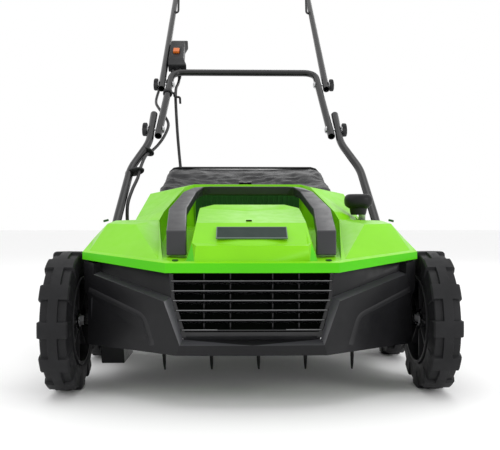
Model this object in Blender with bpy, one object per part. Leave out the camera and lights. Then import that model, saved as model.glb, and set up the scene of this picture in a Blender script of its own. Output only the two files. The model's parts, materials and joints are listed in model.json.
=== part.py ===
"""Lawn dethatcher: an electric spring-tine scarifier with a rear grass bag.

Metres, +Z up. The machine faces -Y and its wheels stand on Z = 0. Inside this file Y is measured from
the front wheels' axle; the ROOT empty then moves everything so that the origin is at the middle of the
footprint.
"""

import math

import bmesh
import bpy
from mathutils import Matrix, Vector

# Driving dimensions
GAP = 0.0004
WHEEL_RADIUS = 0.100
WHEEL_SIDES = 32
WHEEL_OUTER_X = 0.2835
FRONT_WHEEL_WIDTH = 0.042
REAR_WHEEL_WIDTH = 0.036
HUB_RADIUS = 0.064
FRONT_AXLE_Y = 0.0
REAR_AXLE_Y = 0.270
AXLE_Z = 0.100
ROD_RADIUS = 0.005
CRANK_Y = 0.135
CRANK_Z = 0.178
CRANK_ARM_X = 0.2353

ROTOR_Y = 0.080
ROTOR_Z = 0.096
ROTOR_SHAFT_RADIUS = 0.010
TINE_REACH = 0.087
TINE_PITCH = 0.037
TINE_COUNT = 10
FIRST_TINE_X = -0.1685
TINE_WIDTH = 0.008
TINE_EYE_RADIUS = 0.0165
# Pairs of points along a tine's arm, leading edge and trailing edge: (reach from the shaft, to the side)
TINE_ARM = [
    ((0.040, -0.0048), (0.040, 0.0036)),
    ((0.066, -0.0042), (0.066, 0.0030)),
    ((TINE_REACH, 0.0060), (TINE_REACH - 0.0015, 0.0078)),
]

MOTOR_Y = -0.008
MOTOR_Z = 0.190
MOTOR_RADIUS = 0.032
MOTOR_HALF_LENGTH = 0.066
MOTOR_BOSS_END = -0.078
MOTOR_SHAFT_RADIUS = 0.0045
PULLEY_X = -0.2065
PULLEY_WIDTH = 0.014
MOTOR_PULLEY_RADIUS = 0.012
ROTOR_PULLEY_RADIUS = 0.035
BELT_THICKNESS = 0.004

SHELL = 0.0025
DECK_SIDE_X = 0.229
DECK_BOTTOM_Z = 0.0705
DECK_REAR_Y = 0.285

HANDLE_SLOPE = math.radians(40.0)
HANDLE_BASE_Y = 0.270
HANDLE_BASE_Z = 0.247
TUBE_RADIUS = 0.008
TUBE_WALL = 0.0015
LOWER_PIVOT = 0.310
UPPER_PIVOT = 0.510
MIDDLE_BOTTOM = 0.284
CROSSBAR = 0.5705
UPPER_BOTTOM = 0.490
GRIP = 1.085
BAIL_PIVOT = 0.930
BOLT_RADIUS = 0.003
GRIP_FOAM_RADIUS = 0.0135
GRIP_FOAM_HALF = 0.125
HOOK_ALONG = 0.470

FLAP_Y = 0.2965
FLAP_Z = 0.2775
BAG_WALL = 0.002
# Rings of the bag from its mouth to its rear end: (y, half width, lowest z, highest z)
BAG_RINGS = [
    (0.3045, 0.156, 0.104, 0.2660), (0.350, 0.166, 0.088, 0.2860), (0.440, 0.172, 0.074, 0.3230),
    (0.560, 0.174, 0.074, 0.3640), (0.600, 0.172, 0.080, 0.3700), (0.622, 0.160, 0.100, 0.3580),
]
BAG_HOLLOW_END_Y = 0.6200

CABLE_RADIUS = 0.00325
MAINS_RADIUS = 0.0035
# The motor cable's route on the handle: (x, along, lift)
MOTOR_CABLE_UPPER = [
    (-0.1760, 0.5899, -0.0050), (-0.1762, 0.5850, -0.0075), (-0.1810, 0.5760, -0.0150),
    (-0.1920, 0.5600, -0.0210),
    (-0.2050, 0.5300, -0.0240), (-0.2085, 0.5000, -0.0240), (-0.2085, 0.4700, -0.0210),
    (-0.2050, 0.4450, -0.0170), (-0.1960, 0.4200, -0.0150),
]
MOTOR_CABLE_LOWER = [
    (-0.1958, 0.4195, -0.0150), (-0.1860, 0.3980, -0.0145), (-0.1730, 0.3650, -0.0140),
    (-0.1710, 0.3400, -0.0150), (-0.1780, 0.3050, -0.0170), (-0.1880, 0.2700, -0.0150),
    (-0.1990, 0.2350, -0.0080), (-0.2060, 0.2050, 0.0020), (-0.2110, 0.1600, 0.0060),
    (-0.2130, 0.1240, 0.0060), (-0.2200, 0.0870, 0.0040), (-0.2250, 0.0500, -0.0020),
]
# Its end in the housing's rear wall and the mains lead: (x, y, z)
MOTOR_CABLE_END = [
    (-0.2245, 0.3010, 0.2450), (-0.2215, 0.3020, 0.2080), (-0.2185, 0.3010, 0.1860),
    (-0.2170, 0.2950, 0.1760), (-0.2165, 0.2863, 0.1740),
]
MAINS_LEAD = [
    (-0.1580, 0.7252, 0.6231), (-0.1582, 0.7211, 0.6177), (-0.1588, 0.7190, 0.6080),
    (-0.1600, 0.7080, 0.5925), (-0.1615, 0.6920, 0.5810),
    (-0.1635, 0.6700, 0.5680), (-0.1635, 0.6550, 0.5480), (-0.1625, 0.6520, 0.5200),
    (-0.1590, 0.6520, 0.4600), (-0.1540, 0.6520, 0.4000), (-0.1480, 0.6520, 0.3400),
    (-0.1430, 0.6520, 0.2700), (-0.1410, 0.6520, 0.2200),
]


FRONT_EDGE_Y = -0.1375
REAR_EDGE_Y = 1.11466

GREEN = (0.24, 0.62, 0.02)
BLACK = (0.02, 0.02, 0.022)
DARK_GREY = (0.09, 0.09, 0.10)
STEEL = (0.62, 0.62, 0.64)


def clear_scene():
    for obj in list(bpy.data.objects):
        bpy.data.objects.remove(obj, do_unlink=True)


def finish(name, colour, roughness=0.5, metallic=0.0):
    found = bpy.data.materials.get(name)
    if found:
        return found
    made = bpy.data.materials.new(name)
    made.use_nodes = True
    shader = made.node_tree.nodes["Principled BSDF"]
    shader.inputs["Base Color"].default_value = (*colour, 1.0)
    shader.inputs["Roughness"].default_value = roughness
    shader.inputs["Metallic"].default_value = metallic
    return made


def empty(name, location, parent=None):
    made = bpy.data.objects.new(name, None)
    bpy.context.collection.objects.link(made)
    made.location = location
    made.parent = parent
    return made


def add(name, mesh, origin, material, parent, smooth=True):
    """Links a mesh whose points are in machine coordinates, with its origin at the given point."""
    mesh.transform(Matrix.Translation(-Vector(origin)))
    obj = bpy.data.objects.new(name, mesh)
    bpy.context.collection.objects.link(obj)
    obj.location = Vector(origin) - OFFSETS[parent]
    obj.parent = parent
    mesh.materials.append(material)
    if smooth:
        mesh.shade_smooth()
        mesh.set_sharp_from_angle(angle=math.radians(35.0))
    return obj


def mesh_from(name, vertices, faces):
    mesh = bpy.data.meshes.new(name)
    mesh.from_pydata([tuple(v) for v in vertices], [], faces)
    return mesh


def closed_out(mesh):
    """Turns a closed mesh's faces outwards."""
    work = bmesh.new()
    work.from_mesh(mesh)
    bmesh.ops.recalc_face_normals(work, faces=work.faces)
    work.to_mesh(mesh)
    work.free()
    return mesh


def hull(name, points):
    work = bmesh.new()
    for point in points:
        work.verts.new(point)
    found = bmesh.ops.convex_hull(work, input=work.verts)
    loose = {item for item in found["geom_interior"] if isinstance(item, bmesh.types.BMVert)}
    bmesh.ops.delete(work, geom=list(loose), context="VERTS")
    mesh = bpy.data.meshes.new(name)
    work.to_mesh(mesh)
    work.free()
    return closed_out(mesh)


def circle(centre, radius, count, start=0.0):
    return [
        (
            centre[0] + radius * math.cos(start + 2 * math.pi * i / count),
            centre[1] + radius * math.sin(start + 2 * math.pi * i / count),
        )
        for i in range(count)
    ]


def ring_solid(name, rings):
    """A closed tube of equal rings whose last ring joins the first, or a solid if the ends are caps."""
    count = len(rings[0])
    vertices = [point for ring in rings for point in ring]
    faces = []
    for i in range(len(rings)):
        j = (i + 1) % len(rings)
        for k in range(count):
            m = (k + 1) % count
            faces.append((i * count + k, i * count + m, j * count + m, j * count + k))
    return closed_out(mesh_from(name, vertices, faces))


def capped(name, rings):
    count = len(rings[0])
    vertices = [point for ring in rings for point in ring]
    faces = [tuple(range(count)), tuple((len(rings) - 1) * count + k for k in range(count))]
    for i in range(len(rings) - 1):
        for k in range(count):
            m = (k + 1) % count
            faces.append((i * count + k, i * count + m, (i + 1) * count + m, (i + 1) * count + k))
    return closed_out(mesh_from(name, vertices, faces))


def turned(name, profile, centre, count, start=0.0):
    """Revolves (x, radius) points about the X axis through centre (y, z). The profile is a closed loop."""
    rings = []
    for i in range(count):
        angle = start + 2 * math.pi * i / count
        rings.append(
            [
                (x, centre[0] + r * math.cos(angle), centre[1] + r * math.sin(angle))
                for x, r in profile
            ]
        )
    return ring_solid(name, rings)


def plate(name, outline, x_low, x_high, hole=None):
    """A flat plate across X from an outline of (y, z) points, with one hole of as many points."""
    if hole:
        rings = [
            [(x_low, *p) for p in outline],
            [(x_high, *p) for p in outline],
            [(x_high, *p) for p in hole],
            [(x_low, *p) for p in hole],
        ]
        return ring_solid(name, rings)
    return capped(name, [[(x_low, *p) for p in outline], [(x_high, *p) for p in outline]])


def round_rings(points, radius, sides):
    """Round sections along points, turned with the path."""
    points = [Vector(p) for p in points]
    rings = []
    across = None
    for i, point in enumerate(points):
        before = points[max(i - 1, 0)]
        after = points[min(i + 1, len(points) - 1)]
        ahead = (after - before).normalized()
        if across is None:
            across = Vector((0, 0, 1)) if abs(ahead.z) < 0.9 else Vector((0, 1, 0))
        across = (across - ahead * across.dot(ahead)).normalized()
        side = ahead.cross(across)
        rings.append(
            [
                point
                + radius * math.cos(2 * math.pi * k / sides) * across
                + radius * math.sin(2 * math.pi * k / sides) * side
                for k in range(sides)
            ]
        )
    return rings


def sweep(name, points, radius, sides=10):
    """A round bar along points."""
    return capped(name, round_rings(points, radius, sides))


def tube(name, points, sides=10):
    """A handle tube along points, open at both ends."""
    outer = round_rings(points, TUBE_RADIUS, sides)
    bore = round_rings(points, TUBE_RADIUS - TUBE_WALL, sides)
    return ring_solid(name, outer + bore[::-1])


def rounded(points, radius, steps=4):
    """A path through points with each inner corner replaced by an arc-like bend."""
    points = [Vector(p) for p in points]
    path = [points[0]]
    for before, corner, after in zip(points, points[1:], points[2:]):
        back = (before - corner).normalized() * radius
        on = (after - corner).normalized() * radius
        for i in range(steps + 1):
            t = i / steps
            path.append((1 - t) ** 2 * (corner + back) + 2 * t * (1 - t) * corner + t**2 * (corner + on))
    path.append(points[-1])
    return path


def cut(obj, cutter_mesh, label):
    """Takes a hidden cutter out of an object."""
    cutter = bpy.data.objects.new(f"cutter_{obj.name}_{label}", cutter_mesh)
    bpy.context.collection.objects.link(cutter)
    cutter.location = -OFFSETS[obj.parent]
    cutter.parent = obj.parent
    cutter.hide_render = True
    cutter.display_type = "WIRE"
    change = obj.modifiers.new(f"cut_{label}", "BOOLEAN")
    change.operation = "DIFFERENCE"
    change.solver = "EXACT"
    change.object = cutter
    return change


def unite(obj, other_mesh, label):
    cut(obj, other_mesh, label).operation = "UNION"


def box_mesh(name, low, high):
    corners = [(x, y, z) for x in (low[0], high[0]) for y in (low[1], high[1]) for z in (low[2], high[2])]
    return hull(name, corners)


def bar_x(name, x_low, x_high, centre, radius, sides=16):
    """A round bar along X."""
    return plate(name, circle(centre, radius, sides, math.pi / sides), x_low, x_high)


def handle_point(x, along, lift=0.0):
    """A point on the handle's sloping plane: along is measured from its base, lift is square to it."""
    return Vector(
        (
            x,
            HANDLE_BASE_Y + along * math.cos(HANDLE_SLOPE) - lift * math.sin(HANDLE_SLOPE),
            HANDLE_BASE_Z + along * math.sin(HANDLE_SLOPE) + lift * math.cos(HANDLE_SLOPE),
        )
    )


def in_handle(mesh):
    """Moves a mesh built as (x, along, lift) onto the handle's plane."""
    for vertex in mesh.vertices:
        vertex.co = handle_point(*vertex.co)
    return closed_out(mesh)


# Frame and body shells


def mirrored_shell(name, half_points, faces, material, parent):
    """A shell from the named points of its right half, thickened inwards and mirrored."""
    names = list(half_points)
    mesh = mesh_from(name, [half_points[n] for n in names], [tuple(map(names.index, f)) for f in faces])
    obj = add(name, mesh, (0, 0, 0), material, parent, smooth=False)
    mirror = obj.modifiers.new("mirror", "MIRROR")
    mirror.merge_threshold = 0.00005
    wall = obj.modifiers.new("wall", "SOLIDIFY")
    wall.thickness = SHELL
    wall.offset = -1.0
    return obj


def make_top_cover(root, material):
    points = {
        # Lip: lower edge, upper edge and inner edge of its narrow top
        "l0": (0, -0.1375, 0.1772), "l1": (0.1105, -0.1345, 0.1772), "l2": (0.2345, -0.042, 0.1904),
        "l3": (0.2345, 0.080, 0.1904), "l4": (0.2285, 0.105, 0.1904), "l5": (0.2285, 0.290, 0.1904),
        "m0": (0, -0.1375, 0.1897), "m1": (0.1105, -0.1345, 0.1897), "m2": (0.2345, -0.042, 0.2005),
        "m3": (0.2345, 0.080, 0.2005), "m4": (0.2285, 0.105, 0.2005), "m5": (0.2285, 0.290, 0.2005),
        "n1": (0.1150, -0.124, 0.1925), "n2": (0.2260, -0.036, 0.2020),
        # Fender: front panel, crease, side and flat top
        "f1": (0.1210, -0.1160, 0.1935), "g1": (0.1640, -0.0200, 0.2390), "g2": (0.2090, 0.0100, 0.2400),
        "s1": (0.2325, 0.0300, 0.2190), "s2": (0.2325, 0.080, 0.2190), "s3": (0.2270, 0.105, 0.2190),
        "s4": (0.2270, 0.290, 0.2190), "g3": (0.2090, 0.080, 0.2450), "g4": (0.2060, 0.290, 0.2450),
        # Inner edge of the fender beside the carry handle
        "k1": (0.1155, -0.1190, 0.1930), "k2": (0.1330, 0.0120, 0.2385), "k3": (0.1360, 0.0380, 0.2460),
        # Hood
        "h1": (0.1855, 0.150, 0.2505), "h2": (0.1300, 0.050, 0.2590), "h3": (0.1720, 0.225, 0.2935),
        "h4": (0.1060, 0.170, 0.3030), "h5": (0.0940, 0.205, 0.3090), "h0": (0, 0.205, 0.3090),
        "f4": (0.1860, 0.140, 0.2465), "r1": (0.1900, 0.290, 0.2465), "r2": (0.1900, 0.290, 0.2505),
        "r3": (0.1720, 0.290, 0.2935), "r5": (0.0940, 0.290, 0.3110), "r0": (0, 0.290, 0.3110),
        # Channel beside the name plate pod and the finger recess behind it
        "c1": (0.0850, -0.1170, 0.1915), "d1": (0.0800, 0.010, 0.2120), "d2": (0.1290, 0.012, 0.2120),
        "e1": (0.0790, 0.055, 0.2300), "e2": (0.1250, 0.060, 0.2300), "e0": (0, 0.055, 0.2300),
        "i0": (0, 0.200, 0.2350), "i1": (0.0920, 0.200, 0.2350), "i2": (0.1050, 0.165, 0.2350),
        # Name plate pod
        "p0": (0, -0.1285, 0.1917), "p1": (0.0740, -0.1285, 0.1917), "q0": (0, -0.1265, 0.2115),
        "q1": (0.0720, -0.1265, 0.2115), "q2": (0.0780, -0.1100, 0.2150), "t0": (0, -0.0800, 0.2410),
        "t2": (0.0740, -0.0800, 0.2410), "u0": (0, 0.0100, 0.2583), "u2": (0.0750, 0.0100, 0.2583),
        "v0": (0, 0.0450, 0.2690), "v1": (0.0540, 0.0450, 0.2690), "v2": (0.0750, 0.0400, 0.2637),
    }
    faces = [
        ("l0", "l1", "m1", "m0"), ("l1", "l2", "m2", "m1"), ("l2", "l3", "m3", "m2"),
        ("l3", "l4", "m4", "m3"), ("l4", "l5", "m5", "m4"),
        ("m0", "m1", "n1", "p1", "p0"), ("m1", "m2", "n2", "f1", "k1", "n1"),
        ("m2", "m3", "s2", "s1"), ("m2", "s1", "n2"), ("m3", "m4", "s3", "s2"), ("m4", "m5", "s4", "s3"),
        ("n2", "g2", "g1", "f1"), ("n2", "s1", "g2"), ("s1", "s2", "g3", "g2"), ("s2", "s3", "g3"),
        ("s3", "s4", "g4", "g3"), ("f1", "g1", "k2", "k1"), ("g1", "g2", "g3", "k3", "k2"),
        ("g3", "g4", "r1", "f4", "k3"), ("k3", "f4", "h1", "h2"), ("f4", "r1", "r2", "h1"),
        ("h1", "h3", "h4", "h2"), ("h1", "r2", "r3", "h3"), ("h3", "r3", "r5", "h5", "h4"),
        ("h5", "r5", "r0", "h0"),
        ("n1", "k1", "c1", "p1"), ("c1", "k1", "d2", "d1"), ("k1", "k2", "d2"),
        ("d1", "d2", "e2", "e1"), ("d2", "k2", "k3", "e2"), ("e2", "k3", "h2"),
        ("e1", "e2", "i2", "i1"), ("e2", "h2", "h4", "i2"), ("e0", "e1", "i1", "i0"),
        ("i2", "h4", "h5", "i1"), ("i1", "h5", "h0", "i0"),
        ("p0", "p1", "q1", "q0"), ("p1", "c1", "q2", "q1"), ("q0", "q1", "q2", "t2", "t0"),
        ("t0", "t2", "u2", "u0"), ("u0", "u2", "v2", "v1", "v0"),
        ("c1", "d1", "u2", "t2", "q2"), ("d1", "e1", "v2", "u2"), ("e1", "e0", "v0", "v1", "v2"),
    ]
    cover = mirrored_shell("top_cover", points, faces, material, root)
    slot = box_mesh("lever_slot", (0.1770, 0.096, 0.225), (0.1920, 0.136, 0.265))
    cut(cover, slot, "lever_slot")
    return cover


def make_deck_housing(root, material):
    side = DECK_SIDE_X
    low = DECK_BOTTOM_Z
    points = {
        "b0": (0, -0.1270, low), "b1": (0.0970, -0.1245, low), "b2": (side, -0.0325, low),
        "b3": (side, DECK_REAR_Y, low), "b4": (0.160, DECK_REAR_Y, low), "b5": (0, DECK_REAR_Y, low),
        # Proud side panel's edge, and the recess and grille opening behind it
        "r0": (0, -0.1310, 0.0842), "r1": (0.0927, -0.1285, 0.0842), "r2": (0.1139, -0.1190, 0.1394),
        "r3": (0.2176, -0.0490, 0.1696), "r4": (0.2176, -0.0490, 0.1850),
        "q0": (0, -0.1190, 0.0902), "q1": (0.0893, -0.1175, 0.0902), "q2": (0.1051, -0.1080, 0.1434),
        "q3": (0.2100, -0.0390, 0.1730), "q4": (0.2100, -0.0390, 0.1850), "t1": (0.1070, -0.1120, 0.1750),
        # Side wall, which steps in at the wheel arch
        "w1": (0.2335, -0.0350, 0.1480), "w2": (side, -0.0330, 0.1380), "w3": (0.2335, -0.0350, 0.1885),
        "a1": (0.2335, 0.0500, 0.1684), "a2": (side, 0.0500, 0.1579), "a3": (0.2335, 0.0500, 0.1885),
        "a4": (side, 0.0700, 0.1684), "a5": (side, 0.0700, 0.1885),
        "e1": (side, DECK_REAR_Y, 0.1885), "e2": (0.160, DECK_REAR_Y, 0.1885),
        "e3": (0.160, DECK_REAR_Y, 0.106), "e4": (0, DECK_REAR_Y, 0.106),
        "e5": (side, DECK_REAR_Y, 0.106),
    }
    faces = [
        ("b0", "b1", "r1", "r0"), ("b1", "b2", "w2", "w1", "r3", "r2", "r1"),
        ("r3", "w1", "w3", "r4"),
        ("r0", "r1", "q1", "q0"), ("r1", "r2", "q2", "q1"), ("r2", "r3", "q3", "q2"),
        ("r3", "r4", "q4", "q3"), ("q2", "q3", "q4", "t1"),
        ("b2", "b3", "e5", "e1", "a5", "a4", "a2", "w2"), ("w2", "a2", "a1", "w1"),
        ("w1", "a1", "a3", "w3"), ("a1", "a4", "a5", "a3"), ("a1", "a2", "a4"),
        ("b3", "b4", "e3", "e5"), ("e5", "e3", "e2", "e1"), ("b4", "b5", "e4", "e3"),
    ]
    housing = mirrored_shell("deck_housing", points, faces, material, root)
    for label, y, z in (("rear_axle", REAR_AXLE_Y, AXLE_Z), ("crank", CRANK_Y, CRANK_Z)):
        cut(housing, bar_x(label, -0.26, 0.26, (y, z), ROD_RADIUS + 0.0006, 12), label)
    return housing


def make_grille(root, material):
    """Louvred grille behind the housing's opening: slats and upright ribs, cut from one plate."""
    front, back = -0.1035, -0.0965
    levels = [(0.0865, 0.0895), (0.1434, 0.1063), (0.1735, 0.1082)]
    corners = [(sign * half, y, z) for z, half in levels for sign in (-1, 1) for y in (front, back)]
    plate_mesh = hull("front_grille", corners)
    grille = add("front_grille", plate_mesh, (0, front, 0.13), material, root, smooth=False)
    pitch = 0.0128
    for row in range(5):
        z = 0.1085 + row * pitch
        (z_low, half_low), (z_high, half_high) = levels[:2] if z < levels[1][0] else levels[1:]
        half = half_low + (half_high - half_low) * (z - z_low) / (z_high - z_low) - 0.0050
        edges = [-half, -0.5 * half, -0.2 * half, 0.2 * half, 0.5 * half, half]
        for column, (left, right) in enumerate(zip(edges, edges[1:])):
            low = (left + 0.001, front - 0.01, z)
            high = (right - 0.001, back + 0.01, z + pitch - 0.005)
            cut(grille, box_mesh("slot", low, high), f"slot_{row}_{column}")
    return grille


def make_carry_handle(root, material):
    """Grab handle: two sloping legs joined by a flat bar, square in section."""
    stations = [
        # centre, half width across X, half thickness, direction square to the face
        ((0.0990, -0.0950, 0.1980), 0.0130, 0.0070, (0, -1.0, 0.05)),
        ((0.1000, -0.0860, 0.2270), 0.0130, 0.0080, (0, -0.90, 0.45)),
        ((0.1055, 0.0030, 0.2560), 0.0128, 0.0070, (0, -0.40, 0.92)),
        ((0.0945, 0.1160, 0.2860), 0.0105, 0.0065, (0.05, -0.35, 0.93)),
    ]
    rings = []
    for centre, half, thick, normal in stations:
        centre, normal = Vector(centre), Vector(normal).normalized()
        side = Vector((half, 0, 0))
        rings.append([centre - side - normal * thick, centre + side - normal * thick,
                      centre + side + normal * thick, centre - side + normal * thick])
    corner = [
        (0.0760, 0.1420, 0.2860), (0.0960, 0.1600, 0.2880),
        (0.0930, 0.1600, 0.3010), (0.0730, 0.1300, 0.3010),
    ]
    rings.append([Vector(p) for p in corner])
    bar = [
        (0.0620, 0.1360, 0.2880), (0.0620, 0.1640, 0.2880),
        (0.0620, 0.1640, 0.3015), (0.0620, 0.1300, 0.3015),
    ]
    rings.append([Vector(p) for p in bar])
    left = [[Vector((-p.x, p.y, p.z)) for p in ring] for ring in reversed(rings)]
    return add("carry_handle", capped("carry_handle", rings + left), (0, 0.15, 0.295), material, root)


def make_name_plate(root, material):
    """Plain dark plate lying on the sloping face of the pod."""
    slope = math.atan2(0.2410 - 0.2115, -0.0800 + 0.1265)
    up = Vector((0, math.cos(slope), math.sin(slope)))
    out = Vector((0, -math.sin(slope), math.cos(slope)))
    centre = Vector((0, -0.1035, 0.2115 + math.tan(slope) * 0.0230)) + out * (0.0008 + GAP)
    corners = [
        centre + Vector((x, 0, 0)) + up * u + out * o
        for x in (-0.0465, 0.0465)
        for u in (-0.0135, 0.0135)
        for o in (-0.0008, 0.0008)
    ]
    return add("name_plate", hull("name_plate", corners), centre, material, root, smooth=False)


# Drive


def make_chassis(root, material):
    """Plate over the tine rotor: an arch in front and on top, then a ramp back to the bag port."""
    radius, thick = 0.0918, 0.0020
    inner, outer = [], []
    for i in range(9):
        angle = math.radians(193 - 103 * i / 8)
        for ring, r in ((inner, radius), (outer, radius + thick)):
            ring.append((ROTOR_Y + r * math.cos(angle), ROTOR_Z + r * math.sin(angle)))
    inner.append((0.2830, 0.2400))
    outer.append((0.2830, 0.2420))
    outline = inner + outer[::-1]
    return add("chassis_plate", plate("chassis_plate", outline, -0.1745, 0.1745), (0, ROTOR_Y, ROTOR_Z),
               material, root)


def make_motor(root, material):
    """Motor lying across the machine under the name plate pod, its boss towards the belt."""
    c = (MOTOR_Y, MOTOR_Z)
    body = add("motor", bar_x("motor", -MOTOR_HALF_LENGTH, MOTOR_HALF_LENGTH, c, MOTOR_RADIUS, 20), (0, *c),
               material, root)
    unite(body, bar_x("boss", MOTOR_BOSS_END, 0.0, c, 0.014, 16), "boss")
    return body


def make_drive(root, rotor, drive, steel, black, rubber):
    c_rotor = (ROTOR_Y, ROTOR_Z)
    c_motor = (MOTOR_Y, MOTOR_Z)
    low, high = PULLEY_X - PULLEY_WIDTH / 2, PULLEY_X + PULLEY_WIDTH / 2
    shaft_end = MOTOR_BOSS_END - GAP
    rings = [[(x, *p) for p in circle(c_motor, r, 16)] for x, r in
             ((low, MOTOR_PULLEY_RADIUS), (high, MOTOR_PULLEY_RADIUS), (high, MOTOR_SHAFT_RADIUS),
              (shaft_end, MOTOR_SHAFT_RADIUS))]
    add("motor_pulley", capped("motor_pulley", rings), (0, *c_motor), steel, drive)
    rotor_pulley = turned("rotor_pulley", [(low, 0.0056), (low, ROTOR_PULLEY_RADIUS),
                                           (high, ROTOR_PULLEY_RADIUS),
                                           (high, 0.016), (-0.1930, 0.016), (-0.1930, 0.0056)], c_rotor, 24)
    add("rotor_pulley", rotor_pulley, (0, *c_rotor), black, rotor)
    add("drive_belt", make_belt(), (0, *c_motor), rubber, root)


def belt_outline(extra, count=12):
    """Loop round both pulleys at the given distance from their rims."""
    motor = Vector((MOTOR_Y, MOTOR_Z))
    rotor = Vector((ROTOR_Y, ROTOR_Z))
    span = rotor - motor
    lean = math.asin((ROTOR_PULLEY_RADIUS - MOTOR_PULLEY_RADIUS) / span.length)
    heading = math.atan2(span.y, span.x)
    points = []
    for centre, radius, start, turn in (
        (rotor, ROTOR_PULLEY_RADIUS + extra, heading - math.pi / 2 - lean, math.pi + 2 * lean),
        (motor, MOTOR_PULLEY_RADIUS + extra, heading + math.pi / 2 + lean, math.pi - 2 * lean),
    ):
        for i in range(count + 1):
            angle = start + turn * i / count
            points.append((centre.x + radius * math.cos(angle), centre.y + radius * math.sin(angle)))
    return points


def make_belt():
    low, high = PULLEY_X - 0.006, PULLEY_X + 0.006
    return plate("drive_belt", belt_outline(0.0008 + BELT_THICKNESS), low, high, belt_outline(0.0008))


def make_belt_cover(root, material):
    """Case round the belt, open towards the rotor, with a flat-bottomed guard under the pulley."""
    outline = belt_outline(0.0095, 10)
    foot = [(0.036, 0.0300), (0.124, 0.0300)]
    shell_outer = hull("belt_cover", [(x, *p) for x in (-0.2225, -0.1880) for p in outline + foot])
    cover = add("belt_cover", shell_outer, (PULLEY_X, ROTOR_Y, ROTOR_Z), material, root, smooth=False)
    inner = belt_outline(0.0070, 10)
    cut(cover, hull("belt_room", [(x, *p) for x in (-0.2205, -0.180) for p in inner]), "room")
    return cover


def tine_mesh(low, high, turn):
    """Double-ended spring tine: an eye round the shaft and two flat arms swept back at their ends."""
    count = 12
    bore_radius = (ROTOR_SHAFT_RADIUS + GAP) / math.cos(math.pi / count)
    eye = circle((0, 0), TINE_EYE_RADIUS, count, math.pi / count)
    points = eye + circle((0, 0), bore_radius, count, math.pi / count)
    sides = [(k, (k + 1) % count, count + (k + 1) % count, count + k) for k in range(count)]
    roots = {count - 1: 1, count // 2 - 1: -1}
    edges = [(k, (k + 1) % count) for k in range(count) if k not in roots]
    edges += [(count + k, count + (k + 1) % count) for k in range(count)]
    for root, way in roots.items():
        before, after = root, (root + 1) % count
        for near, far in TINE_ARM:
            points += [(way * near[0], way * near[1]), (way * far[0], way * far[1])]
            sides.append((before, len(points) - 2, len(points) - 1, after))
            edges += [(before, len(points) - 2), (after, len(points) - 1)]
            before, after = len(points) - 2, len(points) - 1
        edges.append((before, after))
    spin = Matrix.Rotation(turn, 2)
    places = [Vector((ROTOR_Y, ROTOR_Z)) + spin @ Vector(p) for p in points]
    total = len(places)
    vertices = [(x, *place) for x in (low, high) for place in places]
    faces = sides + [tuple(k + total for k in side) for side in sides]
    faces += [(a, b, b + total, a + total) for a, b in edges]
    return closed_out(mesh_from("tine", vertices, faces))


def make_rotor(rotor, steel, dark_steel):
    c = (ROTOR_Y, ROTOR_Z)
    add("rotor_shaft", stepped_shaft(c), (0, *c), steel, rotor)
    for i in range(TINE_COUNT):
        x = FIRST_TINE_X + i * TINE_PITCH
        upright = i % 2 == 1
        turn = math.pi / 2 if upright else 0.0
        mesh = tine_mesh(x - TINE_WIDTH / 2, x + TINE_WIDTH / 2, turn)
        add(f"spring_tine_{i + 1:02d}", mesh, (x, *c), dark_steel, rotor, smooth=False)


def stepped_shaft(centre):
    """Shaft turned down where it runs in its bearings and its pulley."""
    r = ROTOR_SHAFT_RADIUS
    steps = [(-0.2150, 0.0050), (-0.1925, 0.0050), (-0.1925, 0.0080), (-0.1752, 0.0080), (-0.1752, r),
             (0.1752, r), (0.1752, 0.0080), (0.1900, 0.0080)]
    rings = [[(x, y, z) for y, z in circle(centre, radius, 16, math.pi / 16)] for x, radius in steps]
    return capped("rotor_shaft", rings)


def make_bearings(root, material):
    """Bearing plates at the two ends of the rotor, hung under the chassis plate."""
    for side, low, high in (("left", -0.1872, -0.1758), ("right", 0.1758, 0.1872)):
        name = f"bearing_plate_{side}"
        count = 16
        bore = circle((ROTOR_Y, ROTOR_Z), 0.0084, count, math.pi / count)
        outer = []
        for i in range(count):
            angle = math.pi / count + 2 * math.pi * i / count
            y, z = ROTOR_Y + 0.024 * math.cos(angle), ROTOR_Z + 0.024 * math.sin(angle)
            outer.append((y, z if math.sin(angle) < 0.2 else 0.1750))
        add(name, plate(name, outer, low, high, bore), (0, ROTOR_Y, ROTOR_Z), material, root)


# Wheels and axles


def make_axles(root, crank, steel):
    y, z = FRONT_AXLE_Y, AXLE_Z
    end = WHEEL_OUTER_X - 0.010
    bar = bar_x("front_axle", -0.2403, 0.2403, (CRANK_Y, CRANK_Z), ROD_RADIUS, 12)
    axle = add("front_axle", bar, (0, CRANK_Y, CRANK_Z), steel, crank)
    for label, sign in (("left", -1), ("right", 1)):
        low, high = sorted((sign * 0.2306, sign * 0.2402))
        arm = hull("arm", [(x, *p) for x in (low, high)
                           for p in circle((CRANK_Y, CRANK_Z), 0.0085, 12) + circle((y, z), 0.0085, 12)])
        unite(axle, arm, f"arm_{label}")
        low, high = sorted((sign * 0.2330, sign * end))
        unite(axle, bar_x("stub", low, high, (y, z), ROD_RADIUS, 12), f"stub_{label}")
    add("rear_axle", bar_x("rear_axle", -end, end, (REAR_AXLE_Y, AXLE_Z), ROD_RADIUS, 12),
        (0, REAR_AXLE_Y, AXLE_Z), steel, root)


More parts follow.
